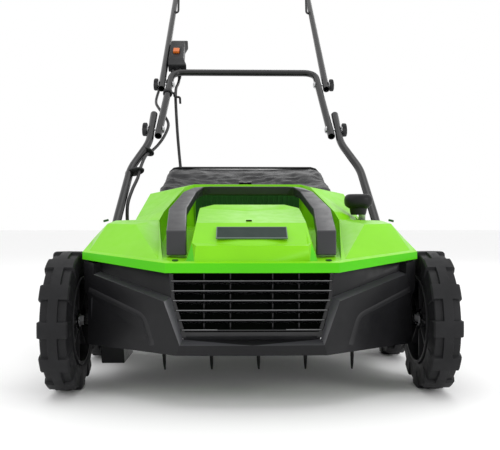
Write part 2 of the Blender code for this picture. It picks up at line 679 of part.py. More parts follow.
def make_wheel(name, sign, y, width, parent, rubber, plastic):
    """Tyre with a flat at the bottom of each side, and a dished hub with a bore."""
    outer = WHEEL_RADIUS / math.cos(math.pi / WHEEL_SIDES)
    low = sign * (WHEEL_OUTER_X - width)
    high = sign * WHEEL_OUTER_X
    shoulder = 0.005 * sign
    start = -math.pi / 2 + math.pi / WHEEL_SIDES
    centre = (y, AXLE_Z)
    tyre = [
        (low, HUB_RADIUS + GAP), (low, outer - 0.006), (low + shoulder, outer),
        (high - shoulder, outer), (high, outer - 0.006), (high, HUB_RADIUS + GAP),
    ]
    add(f"tyre_{name}", turned("tyre", tyre, centre, WHEEL_SIDES, start), (high, *centre), rubber, parent)
    middle = (low + high) / 2
    bore = ROD_RADIUS + 0.0004
    web = 0.004 * sign
    rim, groove = HUB_RADIUS - 0.006, HUB_RADIUS - 0.010
    boss_low, boss_high = low + web * 0.3, high - web * 1.2
    hub = [
        (low, HUB_RADIUS), (low, rim), (middle - web, groove), (middle - web, 0.017),
        (boss_low, 0.015), (boss_low, bore), (boss_high, bore), (boss_high, 0.013),
        (middle + web, 0.017), (middle + web, groove), (high, rim), (high, HUB_RADIUS),
    ]
    hub_mesh = turned("hub", hub, centre, WHEEL_SIDES, start)
    add(f"wheel_hub_{name}", hub_mesh, (high, *centre), plastic, parent)


def make_height_lever(crank, steel, plastic):
    """Flat lever clamped on the front axle's bar, with a mushroom knob above the cover."""
    top_y, top_z = 0.109, 0.262
    heading = math.atan2(top_z - CRANK_Z, top_y - CRANK_Y)
    reach = math.hypot(top_z - CRANK_Z, top_y - CRANK_Y)
    half, eye = 0.0050, 0.0095
    spread = math.asin(half / eye)
    turns = [spread + (2 * math.pi - 2 * spread) * i / 13 for i in range(14)]
    outer = [(eye * math.cos(t), eye * math.sin(t)) for t in turns] + [(reach, -half), (reach, half)]
    bore = ROD_RADIUS + GAP
    hole = [(bore * math.cos(t), bore * math.sin(t)) for t in turns + [-spread * 0.35, spread * 0.35]]

    def turned_up(points):
        spin = Matrix.Rotation(heading, 2)
        return [tuple(Vector((CRANK_Y, CRANK_Z)) + spin @ Vector(p)) for p in points]

    outer, hole = turned_up(outer), turned_up(hole)
    mesh = plate("height_lever", outer, 0.1795, 0.1895, hole)
    add("height_lever", mesh, (0, CRANK_Y, CRANK_Z), steel, crank, smooth=False)
    x, y = 0.1780, 0.109
    levels = [(0.2545, 0.0125), (0.2600, 0.0130), (0.2665, 0.0190), (0.2700, 0.0225), (0.2790, 0.0235),
              (0.2850, 0.0215), (0.2880, 0.0170)]
    rings = [[(x + r * math.cos(a), y + 0.85 * r * math.sin(a), z) for a in
              [2 * math.pi * i / 20 for i in range(20)]] for z, r in levels]
    knob = add("height_knob", capped("height_knob", rings), (x, y, 0.265), plastic, crank)
    # Socket for the lever, which leans as it rises.
    up = (math.cos(heading), math.sin(heading))
    corners = []
    for far in (0.045, reach + 0.0006):
        for side in (-half - 0.0005, half + 0.0005):
            corners.append((CRANK_Y + far * up[0] - side * up[1], CRANK_Z + far * up[1] + side * up[0]))
    lean = hull("socket", [(sx, *p) for sx in (0.1791, 0.1899) for p in corners])
    cut(knob, lean, "socket")


# Handle


def leg_x(along):
    """Half the distance between the middle handle's legs, which draw together towards the crossbar."""
    return 0.1870 - 0.0110 * (along - MIDDLE_BOTTOM) / (CROSSBAR - MIDDLE_BOTTOM)


def bolt_hole(obj, sign, x_low, x_high, along, label):
    centre = handle_point(0, along)
    low, high = sorted((sign * x_low, sign * x_high))
    cut(obj, bar_x("hole", low, high, (centre.y, centre.z), BOLT_RADIUS + 0.0004, 10), label)


def make_handle(root, middle, upper, bail, steel_black, foam):
    for name, sign in (("left", -1), ("right", 1)):
        route = [(sign * 0.2385, -0.120, 0), (sign * 0.2385, 0.0, 0), (sign * 0.2320, 0.162, 0),
                 (sign * 0.2035, 0.2585, 0), (sign * 0.2035, 0.3735, 0)]
        leg = in_handle(tube("lower_tube", rounded(route, 0.020)))
        obj = add(f"lower_tube_{name}", leg, handle_point(sign * 0.2385, 0), steel_black, root)
        bolt_hole(obj, sign, 0.190, 0.220, LOWER_PIVOT, "bolt")
    top = leg_x(CROSSBAR)
    route = [(-leg_x(MIDDLE_BOTTOM), MIDDLE_BOTTOM, 0), (-top, CROSSBAR, 0), (top, CROSSBAR, 0),
             (leg_x(MIDDLE_BOTTOM), MIDDLE_BOTTOM, 0)]
    obj = add("middle_handle", in_handle(tube("middle_handle", rounded(route, 0.030, 5))),
              handle_point(0, LOWER_PIVOT), steel_black, middle)
    route = [(-0.1965, UPPER_BOTTOM, 0), (-0.1965, GRIP, 0), (0.1965, GRIP, 0), (0.1965, UPPER_BOTTOM, 0)]
    loop = add("upper_handle", in_handle(tube("upper_handle", rounded(route, 0.055, 6))),
               handle_point(0, UPPER_PIVOT), steel_black, upper)
    for sign in (-1, 1):
        side = "left" if sign < 0 else "right"
        bolt_hole(obj, sign, 0.165, 0.200, LOWER_PIVOT, f"low_{side}")
        bolt_hole(obj, sign, 0.160, 0.192, UPPER_PIVOT, f"high_{side}")
        bolt_hole(loop, sign, 0.183, 0.212, UPPER_PIVOT, f"bolt_{side}")
        bolt_hole(loop, sign, 0.186, 0.220, BAIL_PIVOT, f"bail_{side}")
    inner, outer, half = TUBE_RADIUS + GAP, GRIP_FOAM_RADIUS, GRIP_FOAM_HALF
    centre = handle_point(0, GRIP)
    profile = [(-half, inner), (-half, outer), (half, outer), (half, inner)]
    foam_mesh = turned("foam_grip", profile, (centre.y, centre.z), 12)
    add("foam_grip", foam_mesh, centre, foam, upper)
    make_bail(bail, steel_black)


def make_bail(bail, material):
    """Wire lever across the handle; its feet turn in the upper handle's legs."""
    reach = GRIP - 0.004 - BAIL_PIVOT
    angle = math.radians(38)
    x, foot = 0.1830, 0.2030
    top_along = BAIL_PIVOT + reach * math.cos(angle)
    top_lift = reach * math.sin(angle)
    route = [
        (-foot, BAIL_PIVOT, 0), (-x, BAIL_PIVOT, 0), (-x, top_along, top_lift),
        (x, top_along, top_lift), (x, BAIL_PIVOT, 0), (foot, BAIL_PIVOT, 0),
    ]
    mesh = in_handle(sweep("bail_lever", rounded(route, 0.0045, 3), 0.0030, 8))
    add("bail_lever", mesh, handle_point(0, BAIL_PIVOT), material, bail)


def make_knobs(root, middle, knobs, plastic, steel):
    """Wing knobs outside the tubes, each on a carriage bolt through both of them."""
    for level, along, head, inner, outer, parent in (
        ("lower", LOWER_PIVOT, 0.1745, 0.1770, 0.2120, root),
        ("upper", UPPER_PIVOT, 0.1665, 0.1690, 0.2050, middle),
    ):
        centre = handle_point(0, along)
        c = (centre.y, centre.z)
        for side, sign in (("left", -1), ("right", 1)):
            low, high = sorted((sign * inner, sign * (outer + 0.0120)))
            bolt = bar_x("bolt", low, high, c, BOLT_RADIUS, 10)
            obj = add(f"carriage_bolt_{level}_{side}", bolt, (0, *c), steel, parent)
            low, high = sorted((sign * head, sign * (inner + 0.0003)))
            unite(obj, bar_x("head", low, high, c, 0.0070, 10), "head")
            count = 20
            outline = []
            for i in range(count):
                angle = 2 * math.pi * i / count
                radius = 0.0075 + 0.0085 * abs(math.cos(angle)) ** 1.5
                outline.append((c[0] + radius * math.cos(angle + HANDLE_SLOPE),
                                c[1] + radius * math.sin(angle + HANDLE_SLOPE)))
            hole = circle(c, BOLT_RADIUS + 0.0004, count, HANDLE_SLOPE)
            low, high = sorted((sign * (outer + GAP), sign * (outer + 0.0110)))
            add(f"wing_knob_{level}_{side}", plate("knob", outline, low, high, hole), (0, *c), plastic,
                knobs[f"{level}_{side}"])


def make_switch_box(upper, button, plastic, orange):
    """Tapered switch box on the left leg, with its lock-off button on the upper face."""
    inner_x, outer_x = -0.1520, -0.1875
    rings = []
    for along, half in ((0.592, 0.010), (0.616, 0.017), (0.706, 0.0185), (0.724, 0.012)):
        taper_x = inner_x + (0.0185 - half) * 1.2
        rings.append([(outer_x, along, -half), (outer_x, along, half), (taper_x, along, half),
                      (taper_x, along, -half)])
    shape = in_handle(capped("switch_box", rings))
    box = add("switch_box", shape, handle_point(-0.17, 0.65), plastic, upper, smooth=False)
    well = in_handle(box_mesh("well", (-0.1780, 0.640, 0.0110), (-0.1620, 0.660, 0.0300)))
    cut(box, well, "button_well")
    cap = in_handle(box_mesh("lock_button", (-0.1776, 0.6404, 0.0162), (-0.1624, 0.6596, 0.0232)))
    add("lock_button", cap, handle_point(-0.17, 0.65, 0.02), orange, button, smooth=False)


# Bag and flap


def rounded_section(y, half, low, high, corner=0.022, steps=3):
    """A rounded rectangle across X and Z at the given Y."""
    points = []
    for cx, cz, start in ((half - corner, low + corner, -90), (half - corner, high - corner, 0),
                          (-half + corner, high - corner, 90), (-half + corner, low + corner, 180)):
        for i in range(steps + 1):
            angle = math.radians(start + 90 * i / steps)
            points.append((cx + corner * math.cos(angle), y, cz + corner * math.sin(angle)))
    return points


def make_bag(bag, fabric, plastic):
    """Open-mouthed grass bag: an outer skin, a closed rear end and a matching hollow."""
    rings = [rounded_section(*ring) for ring in BAG_RINGS]
    inner = [
        rounded_section(min(y, BAG_HOLLOW_END_Y), half - BAG_WALL, low + BAG_WALL, high - BAG_WALL)
        for y, half, low, high in BAG_RINGS
    ]
    count = len(rings[0])
    every = rings + inner[::-1]
    vertices = [point for ring in every for point in ring]
    faces = []
    n = len(rings)
    for i in list(range(n - 1)) + list(range(n, 2 * n - 1)) + [2 * n - 1]:
        j = (i + 1) % (2 * n)
        for k in range(count):
            m = (k + 1) % count
            faces.append((i * count + k, i * count + m, j * count + m, j * count + k))
    faces.append(tuple((n - 1) * count + k for k in range(count)))
    faces.append(tuple(n * count + k for k in range(count)))
    mesh = closed_out(mesh_from("bag_fabric", vertices, faces))
    add("bag_fabric", mesh, (0, 0.45, 0.20), fabric, bag)
    front, back = 0.2960, 0.3040
    rings = []
    for half, low, high, y in ((0.164, 0.100, 0.2700, front), (0.164, 0.100, 0.2700, back),
                               (0.146, 0.116, 0.2540, back), (0.146, 0.116, 0.2540, front)):
        rings.append(rounded_section(y, half, low, high, 0.018))
    add("bag_frame", ring_solid("bag_frame", rings), (0, front, 0.185), plastic, bag)


def make_rear_flap(flap, plastic):
    """Stiff flap over the bag's mouth, hinged along the hood's rear edge."""
    profile = [
        (FLAP_Y - 0.0035, FLAP_Z - 0.0030), (FLAP_Y + 0.0035, FLAP_Z - 0.0035), (0.3850, 0.3060),
        (0.3840, 0.3090), (FLAP_Y + 0.0030, FLAP_Z + 0.0035), (FLAP_Y - 0.0025, FLAP_Z + 0.0035),
    ]
    add("rear_flap", plate("rear_flap", profile, -0.142, 0.142), (0, FLAP_Y, FLAP_Z), plastic, flap)


# Cables


def smooth_path(route, count):
    """Evenly stepped points on a Catmull-Rom curve through the route's own points."""
    route = [Vector(p) for p in route]
    padded = [2 * route[0] - route[1], *route, 2 * route[-1] - route[-2]]
    fine = []
    for a, b, c, d in zip(padded, padded[1:], padded[2:], padded[3:]):
        for i in range(24):
            t = i / 24
            fine.append(0.5 * (2 * b + (c - a) * t + (2 * a - 5 * b + 4 * c - d) * t**2
                               + (3 * b - a - 3 * c + d) * t**3))
    fine.append(route[-1])
    lengths = [0.0]
    for a, b in zip(fine, fine[1:]):
        lengths.append(lengths[-1] + (b - a).length)
    path = []
    j = 0
    for i in range(count):
        target = lengths[-1] * i / (count - 1)
        while j < len(fine) - 2 and lengths[j + 1] < target:
            j += 1
        span = max(lengths[j + 1] - lengths[j], 1e-9)
        path.append(fine[j].lerp(fine[j + 1], min((target - lengths[j]) / span, 1.0)))
    return path


def make_cable(name, route, radius, count, material, parent):
    data = bpy.data.curves.new(name, "CURVE")
    data.dimensions = "3D"
    data.bevel_depth = radius
    data.bevel_resolution = 2
    data.use_fill_caps = True
    path = smooth_path(route, count)
    spline = data.splines.new("POLY")
    spline.points.add(len(path) - 1)
    for point, place in zip(spline.points, path):
        point.co = (*place, 1.0)
    data.materials.append(material)
    obj = bpy.data.objects.new(name, data)
    bpy.context.collection.objects.link(obj)
    obj.location = -OFFSETS[parent]
    obj.parent = parent
    return obj


def make_plug(parent, material):
    """Moulded plug hanging on the end of the lead."""
    x, y, z = MAINS_LEAD[-1]
    octagon = [(-1, -0.5), (-0.5, -1), (0.5, -1), (1, -0.5), (1, 0.5), (0.5, 1), (-0.5, 1), (-1, 0.5)]
    rings = []
    for down, half, thick in ((0.0004, 0.0050, 0.0050), (0.020, 0.0080, 0.0070), (0.026, 0.0150, 0.0100),
                              (0.050, 0.0160, 0.0105)):
        rings.append([(x + half * sx, y + thick * sy, z - down) for sx, sy in octagon])
    plug = add("mains_plug", capped("mains_plug", rings), (x, y, z), material, parent)
    for label, offset in (("left", -0.0065), ("right", 0.0065)):
        low = (x + offset - 0.0008, y - 0.0032, z - 0.068)
        blade = box_mesh("blade", low, (x + offset + 0.0008, y + 0.0032, z - 0.045))
        unite(plug, blade, f"blade_{label}")


def make_cord_hook(middle, plastic):
    """Open hook on the middle handle's left leg that holds the lead."""
    along = HOOK_ALONG
    x = -leg_x(along)
    count = 16
    outer = circle((x, 0.0), 0.0108, count)
    inner = circle((x, 0.0), TUBE_RADIUS + GAP, count)
    rings = [[(px, a, w) for px, w in ring] for ring, a in
             ((outer, along - 0.006), (outer, along + 0.006), (inner, along + 0.006), (inner, along - 0.006))]
    collar = in_handle(ring_solid("cord_hook", rings))
    hook = add("cord_hook", collar, handle_point(x, along), plastic, middle)
    route = [
        (x + 0.0092, along, 0), (x + 0.0150, along, 0), (x + 0.0150, along, -0.0110),
        (x + 0.0280, along, -0.0110), (x + 0.0280, along, -0.0280),
    ]
    unite(hook, in_handle(sweep("arm", rounded(route, 0.004, 3), 0.0026, 8)), "arm")


def main():
    clear_scene()
    shift = -(FRONT_EDGE_Y + REAR_EDGE_Y) / 2
    root = empty("ROOT", (0, shift, 0))
    OFFSETS[root] = Vector((0, 0, 0))

    def pivot(name, place, parent=root):
        made = empty(name, Vector(place) - OFFSETS[parent], parent)
        OFFSETS[made] = Vector(place)
        return made

    rotor = pivot("PIVOT_rotor", (0, ROTOR_Y, ROTOR_Z))
    drive = pivot("PIVOT_motor", (0, MOTOR_Y, MOTOR_Z))
    crank = pivot("PIVOT_crank", (0, CRANK_Y, CRANK_Z))
    front = {s: pivot(f"PIVOT_front_{s}", (0, FRONT_AXLE_Y, AXLE_Z), crank) for s in ("left", "right")}
    rear = {s: pivot(f"PIVOT_rear_{s}", (0, REAR_AXLE_Y, AXLE_Z)) for s in ("left", "right")}
    middle = pivot("PIVOT_middle_handle", handle_point(0, LOWER_PIVOT))
    upper = pivot("PIVOT_upper_handle", handle_point(0, UPPER_PIVOT), middle)
    bail = pivot("PIVOT_bail", handle_point(0, BAIL_PIVOT), upper)
    button = pivot("SLIDE_button", handle_point(-0.17, 0.65, 0.02), upper)
    flap = pivot("PIVOT_flap", (0, FLAP_Y, FLAP_Z))
    bag = pivot("SLIDE_bag", (0, 0.30, 0.185))
    knobs = {}
    for level, along, holder in (("lower", LOWER_PIVOT, root), ("upper", UPPER_PIVOT, middle)):
        for side in ("left", "right"):
            knobs[f"{level}_{side}"] = pivot(f"PIVOT_knob_{level}_{side}", handle_point(0, along), holder)

    green = finish("green_plastic", GREEN, 0.32)
    black = finish("black_plastic", BLACK, 0.55)
    grey = finish("grey_plastic", DARK_GREY, 0.45)
    plate_grey = finish("plate", (0.03, 0.035, 0.04), 0.4)
    rubber = finish("rubber", (0.015, 0.015, 0.015), 0.8)
    steel = finish("zinc_steel", STEEL, 0.35, 1.0)
    tube_black = finish("black_tube", (0.012, 0.012, 0.014), 0.3)
    tine_black = finish("tine_steel", (0.03, 0.03, 0.03), 0.35, 0.6)
    foam = finish("foam", (0.03, 0.03, 0.03), 0.95)
    fabric = finish("fabric", (0.02, 0.02, 0.025), 0.85)
    orange = finish("button", (0.75, 0.18, 0.02), 0.4)

    make_top_cover(root, green)
    make_deck_housing(root, black)
    make_grille(root, black)
    make_carry_handle(root, grey)
    make_name_plate(root, plate_grey)
    make_chassis(root, black)
    make_motor(root, steel)
    make_drive(root, rotor, drive, steel, black, rubber)
    make_belt_cover(root, black)
    make_rotor(rotor, steel, tine_black)
    make_bearings(root, black)
    make_axles(root, crank, steel)
    for side, sign in (("left", -1), ("right", 1)):
        make_wheel(f"front_{side}", sign, FRONT_AXLE_Y, FRONT_WHEEL_WIDTH, front[side], rubber, black)
        make_wheel(f"rear_{side}", sign, REAR_AXLE_Y, REAR_WHEEL_WIDTH, rear[side], rubber, black)
    make_height_lever(crank, steel, black)
    make_handle(root, middle, upper, bail, tube_black, foam)
    make_knobs(root, middle, knobs, black, steel)
    make_switch_box(upper, button, black, orange)
    make_bag(bag, fabric, black)
    make_rear_flap(flap, black)
    upper_route = [handle_point(*p) for p in MOTOR_CABLE_UPPER]
    lower_route = [handle_point(*p) for p in MOTOR_CABLE_LOWER] + MOTOR_CABLE_END
    make_cable("motor_cable_upper", upper_route, CABLE_RADIUS, 16, rubber, upper)
    make_cable("motor_cable_lower", lower_route, CABLE_RADIUS, 38, rubber, middle)
    make_cable("mains_lead", MAINS_LEAD, MAINS_RADIUS, 34, rubber, middle)
    make_plug(middle, black)
    make_cord_hook(middle, black)


OFFSETS = {}
main()
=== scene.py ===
import json
import math

import bmesh
import bpy
from mathutils import Matrix, Vector, noise
from mathutils.bvhtree import BVHTree

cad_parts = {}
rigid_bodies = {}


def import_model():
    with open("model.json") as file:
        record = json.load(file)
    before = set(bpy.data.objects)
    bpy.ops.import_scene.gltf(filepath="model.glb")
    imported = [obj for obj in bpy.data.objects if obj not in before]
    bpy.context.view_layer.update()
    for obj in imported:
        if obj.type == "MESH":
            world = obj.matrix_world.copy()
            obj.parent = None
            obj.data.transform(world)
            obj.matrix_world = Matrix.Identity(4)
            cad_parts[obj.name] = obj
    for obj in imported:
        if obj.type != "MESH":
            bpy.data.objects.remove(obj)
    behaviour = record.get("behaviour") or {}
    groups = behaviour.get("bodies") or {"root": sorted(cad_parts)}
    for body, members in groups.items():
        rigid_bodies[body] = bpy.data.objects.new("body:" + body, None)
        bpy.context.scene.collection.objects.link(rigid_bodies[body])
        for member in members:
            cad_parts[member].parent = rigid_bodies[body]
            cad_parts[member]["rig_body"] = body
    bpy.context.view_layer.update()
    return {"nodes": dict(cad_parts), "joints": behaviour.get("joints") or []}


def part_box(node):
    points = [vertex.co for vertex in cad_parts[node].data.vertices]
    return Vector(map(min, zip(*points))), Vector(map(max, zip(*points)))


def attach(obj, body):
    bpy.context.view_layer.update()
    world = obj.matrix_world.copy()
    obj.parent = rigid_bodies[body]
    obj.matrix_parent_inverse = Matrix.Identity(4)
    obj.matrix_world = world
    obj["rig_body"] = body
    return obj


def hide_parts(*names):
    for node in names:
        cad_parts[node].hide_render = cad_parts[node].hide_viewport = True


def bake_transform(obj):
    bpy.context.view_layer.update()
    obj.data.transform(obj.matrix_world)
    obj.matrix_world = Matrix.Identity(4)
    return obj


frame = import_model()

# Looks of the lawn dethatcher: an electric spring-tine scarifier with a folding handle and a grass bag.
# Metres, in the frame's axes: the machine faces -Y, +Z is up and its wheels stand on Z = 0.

NODES = frame["nodes"]
JOINTS = {joint["name"]: joint for joint in frame["joints"]}

AXLE_Y = JOINTS["front_wheel_left_spin"]["pos_m"][1]
# The handle lies in one sloping plane: each "along" is measured up that plane from HANDLE_BASE, as (y, z).
HANDLE_SLOPE = math.radians(40.0)
HANDLE_BASE = (AXLE_Y + 0.270, 0.247)
LOWER_PIVOT = 0.310
UPPER_PIVOT = 0.510
BAIL_PIVOT = 0.930
MIDDLE_FOOT = 0.284
CROSSBAR = 0.5705
GRIP = 1.085
LOWER_TUBE_HALF = 0.2385
MIDDLE_FOOT_HALF = 0.1870
CROSSBAR_HALF = 0.1760
UPPER_HALF = 0.1965
TUBE_RADIUS = 0.008
TUBE_WALL = 0.0014



# Camera and stage


def make_camera():
    data = bpy.data.cameras.new("camera")
    data.sensor_width = 36.0
    data.lens = 50.4
    camera = bpy.data.objects.new("camera", data)
    bpy.context.scene.collection.objects.link(camera)
    camera.location = (-0.0225, -1.5106, 0.238)
    camera.rotation_euler = (math.radians(90.0), 0.0, math.radians(-1.26))
    bpy.context.scene.camera = camera


def area_light(name, place, target, size, power):
    data = bpy.data.lights.new(name, "AREA")
    data.shape = "RECTANGLE"
    data.size = size[0]
    data.size_y = size[1]
    data.energy = power
    light = bpy.data.objects.new(name, data)
    bpy.context.scene.collection.objects.link(light)
    light.location = place
    light.rotation_euler = (Vector(target) - Vector(place)).to_track_quat("-Z", "Y").to_euler()


def make_stage():
    scene = bpy.context.scene
    scene.view_settings.view_transform = "Standard"
    scene.world = bpy.data.worlds.new("studio")
    scene.world.use_nodes = True
    backdrop = scene.world.node_tree.nodes["Background"]
    backdrop.inputs["Color"].default_value = (1.0, 1.0, 1.0, 1.0)
    backdrop.inputs["Strength"].default_value = 1.0
    area_light("overhead", (0.1, -0.6, 2.6), (0, -0.3, 0.1), (2.6, 2.0), 20)
    area_light("front_left", (-1.9, -2.3, 1.5), (0, -0.4, 0.2), (1.4, 1.4), 4)
    area_light("front_right", (2.0, -2.1, 0.9), (0.1, -0.4, 0.15), (1.0, 1.0), 16)
    area_light("rear", (0.6, 2.6, 1.9), (0, 0.2, 0.4), (1.6, 1.2), 6)
    mesh = bpy.data.meshes.new("floor")
    mesh.from_pydata([(-30, -30, 0), (30, -30, 0), (30, 30, 0), (-30, 30, 0)], [], [(0, 1, 2, 3)])
    floor = bpy.data.objects.new("floor", mesh)
    scene.collection.objects.link(floor)
    pale, _, _ = new_material("pale_floor", Base_Color=(0.92, 0.92, 0.92, 1), Roughness=0.9)
    mesh.materials.append(pale)


# Materials


def set_sockets(node, **sockets):
    """Puts constants on a node's sockets. An underscore in a keyword stands for a space."""
    for socket, value in sockets.items():
        node.inputs[socket.replace("_", " ")].default_value = value


def add_node(tree, kind, **sockets):
    made = tree.nodes.new("ShaderNode" + kind)
    set_sockets(made, **sockets)
    return made


def new_material(name, **sockets):
    """A material, its node tree and its shader, with constants on the shader's sockets."""
    made = bpy.data.materials.new(name)
    made.use_nodes = True
    shader = made.node_tree.nodes["Principled BSDF"]
    set_sockets(shader, **sockets)
    return made, made.node_tree, shader


def noise_field(tree, place, scale, detail):
    field = add_node(tree, "TexNoise", Scale=scale, Detail=detail)
    tree.links.new(place.outputs["Object"], field.inputs["Vector"])
    return field.outputs["Fac"]


def two_tone(tree, field, dark, light, start, end):
    """Goes from the dark to the light colour as the field goes from start to end."""
    ramp = add_node(tree, "ValToRGB")
    for element, position, colour in zip(ramp.color_ramp.elements, (start, end), (dark, light)):
        element.position = position
        element.color = (*colour, 1)
    tree.links.new(field, ramp.inputs["Fac"])
    return ramp.outputs["Color"]


def emboss(tree, shader, height, strength, distance):
    bump = add_node(tree, "Bump", Strength=strength, Distance=distance)
    tree.links.new(height, bump.inputs["Height"])
    tree.links.new(bump.outputs["Normal"], shader.inputs["Normal"])


def surface(name, colour, roughness, metallic=0.0, tint=0.08, patch=14.0, grain=1400.0, relief=0.12,
            depth=0.0002, edge_highlight=0.0, shine=0.5):
    """A moulded, painted or metal surface: broad colour drift, uneven gloss, fine grain and a painted
    highlight on convex edges.
    """
    made, tree, shader = new_material(name, Metallic=metallic, Specular_IOR_Level=shine)
    place = add_node(tree, "TexCoord")
    dark = [c * (1 - tint) for c in colour]
    light = [min(c * (1 + tint), 1) for c in colour]
    base = two_tone(tree, noise_field(tree, place, patch, 4.0), dark, light, 0.3, 0.7)
    # Painted highlight: where pointiness marks a convex edge, the colour is mixed towards a much lighter copy
    # of itself.
    if edge_highlight:
        edge = add_node(tree, "NewGeometry")
        lift = add_node(tree, "MapRange", From_Min=0.53, From_Max=0.60, To_Max=edge_highlight)
        tree.links.new(edge.outputs["Pointiness"], lift.inputs["Value"])
        highlight_mix = add_node(tree, "Mix")
        highlight_mix.data_type = "RGBA"
        highlight_mix.inputs["B"].default_value = (*[min(c * 2.2 + 0.02, 1) for c in colour], 1)
        tree.links.new(lift.outputs["Result"], highlight_mix.inputs["Factor"])
        tree.links.new(base, highlight_mix.inputs["A"])
        base = highlight_mix.outputs["Result"]
    tree.links.new(base, shader.inputs["Base Color"])
    spread = 0.06
    gloss = add_node(tree, "MapRange", From_Min=0.3, From_Max=0.7, To_Min=max(roughness - spread, 0.02),
                     To_Max=min(roughness + spread, 1.0))
    tree.links.new(noise_field(tree, place, patch * 5, 3.0), gloss.inputs["Value"])
    tree.links.new(gloss.outputs["Result"], shader.inputs["Roughness"])
    emboss(tree, shader, noise_field(tree, place, grain, 2.0), relief, depth)
    return made


def woven(name, colour):
    """Coated polyester cloth: a fine over-and-under weave with worn, dusty patches."""
    made, tree, shader = new_material(name, Roughness=0.40, Specular_IOR_Level=0.26)
    place = add_node(tree, "TexCoord")
    threads = []
    for turn in (math.radians(45), math.radians(-45)):
        spin = add_node(tree, "Mapping", Rotation=(turn, turn, turn))
        wave = add_node(tree, "TexWave", Scale=320.0)
        tree.links.new(place.outputs["Object"], spin.inputs["Vector"])
        tree.links.new(spin.outputs["Vector"], wave.inputs["Vector"])
        threads.append(wave.outputs["Fac"])
    weave = add_node(tree, "Math")
    weave.operation = "MULTIPLY"
    tree.links.new(threads[0], weave.inputs[0])
    tree.links.new(threads[1], weave.inputs[1])
    dusty = [c * 2.4 for c in colour]
    base = two_tone(tree, noise_field(tree, place, 30.0, 6.0), colour, dusty, 0.35, 0.75)
    tree.links.new(base, shader.inputs["Base Color"])
    emboss(tree, shader, weave.outputs["Value"], 0.35, 0.0004)
    return made


def make_materials():
    return {
        "green": surface("moulded_green", (0.195, 0.58, 0.004), 0.36, tint=0.03, grain=2200, relief=0.05,
                         edge_highlight=0.10, shine=0.26),
        # A darker, deeper copy of the cover's green for its front lip faces: painted shade.
        "green_lip_shade": surface("green_lip_shade", (0.070, 0.50, 0.001), 0.34, tint=0.03, grain=2200, relief=0.05,
                             edge_highlight=0.2, shine=0.2),
        # Near-black green for the screw wells and the finger recess: painted shade in these hollows.
        "green_recess_shade": surface("green_rib_shade", (0.010, 0.075, 0.008), 0.5, shine=0.25),
        "black": surface("moulded_black", (0.0085, 0.0085, 0.0095), 0.42, tint=0.15, grain=1500, relief=0.16,
                         edge_highlight=0.5, shine=0.22),
        # A lighter copy of the black for ledges on the housing's front: painted highlight.
        "ledge_highlight": surface("moulded_ledge_highlight", (0.045, 0.045, 0.050), 0.34, tint=0.12, grain=1500, edge_highlight=0.5),
        "case": surface("gloss_black", (0.006, 0.006, 0.007), 0.20, tint=0.1, relief=0.05, edge_highlight=0.3,
                        shine=0.4),
        # Pale grey for strips on the grille slats' front edges: painted highlight.
        "slat_edge_highlight": surface("slat_edge_highlight", (0.17, 0.17, 0.175), 0.25, tint=0.1, relief=0.05),
        "grey": surface("satin_grey", (0.026, 0.026, 0.029), 0.36, grain=1800, edge_highlight=0.5, shine=0.35),
        "plate": surface("plate_face", (0.012, 0.026, 0.020), 0.5, tint=0.06, relief=0.04, shine=0.2),
        "plate_rim": surface("plate_rim", (0.09, 0.125, 0.11), 0.4, tint=0.06, relief=0.04),
        "tyre": surface("tyre_rubber", (0.009, 0.009, 0.010), 0.55, tint=0.22, patch=22, grain=700,
                        relief=0.25, edge_highlight=0.5, shine=0.22),
        "sheath": surface("cable_sheath", (0.007, 0.007, 0.0075), 0.36, tint=0.1, grain=900, relief=0.08,
                          shine=0.4),
        "belt": surface("belt_rubber", (0.010, 0.010, 0.010), 0.75, tint=0.2, grain=800, relief=0.2,
                        shine=0.3),
        "zinc": surface("zinc_plate", (0.50, 0.50, 0.51), 0.28, metallic=1.0, tint=0.1, grain=500,
                        relief=0.05),
        "motor": surface("motor_paint", (0.012, 0.012, 0.013), 0.5, tint=0.12, shine=0.3),
        "tube": surface("powder_coat", (0.006, 0.006, 0.0065), 0.22, tint=0.1, grain=1700, relief=0.10,
                        edge_highlight=0.35, shine=0.42),
        "spring": surface("spring_steel", (0.016, 0.016, 0.016), 0.36, metallic=0.3, tint=0.25, patch=60,
                          relief=0.1, edge_highlight=0.5, shine=0.4),
        "foam": surface("foam", (0.012, 0.012, 0.013), 0.92, tint=0.15, grain=420, relief=0.6, depth=0.0006,
                        shine=0.2),
        "cloth": woven("bag_cloth", (0.0045, 0.0045, 0.0055)),
        "piping": surface("piping", (0.006, 0.006, 0.0065), 0.5, tint=0.12, grain=600, relief=0.3,
                          shine=0.35),
        "orange": surface("orange_button", (0.55, 0.12, 0.01), 0.36, tint=0.05),
        # Near-black fill put where there is only shade: in the pod slot and behind the grille louvres.
        "hole": surface("dark_hole", (0.002, 0.003, 0.002), 0.9, tint=0.1, shine=0.05),
    }


# Mesh helpers


def piece(name, mesh, material, body, replaces=(), angle=32.0, bevel=0.0, segments=2):
    """Links a mesh, or several as one, already in place, smooths it up to the angle and puts it on a body."""
    if isinstance(mesh, list):
        mesh = joined(name, mesh)
    obj = bpy.data.objects.new(name, mesh)
    bpy.context.scene.collection.objects.link(obj)
    mesh.materials.clear()
    mesh.materials.append(MATERIALS[material])
    mesh.shade_smooth()
    if bevel:
        round_edges(obj, bevel, segments, angle)
    else:
        mesh.set_sharp_from_angle(angle=math.radians(angle))
    if body:
        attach(obj, body)
    if replaces:
        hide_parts(*replaces)
    return obj


def stand_in(node, name, mesh, material, angle=32.0, bevel=0.0, segments=2):
    """A piece in the place of a CAD node, with the node's own body."""
    return piece(name, mesh, material, NODES[node]["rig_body"], (node,), angle, bevel, segments)


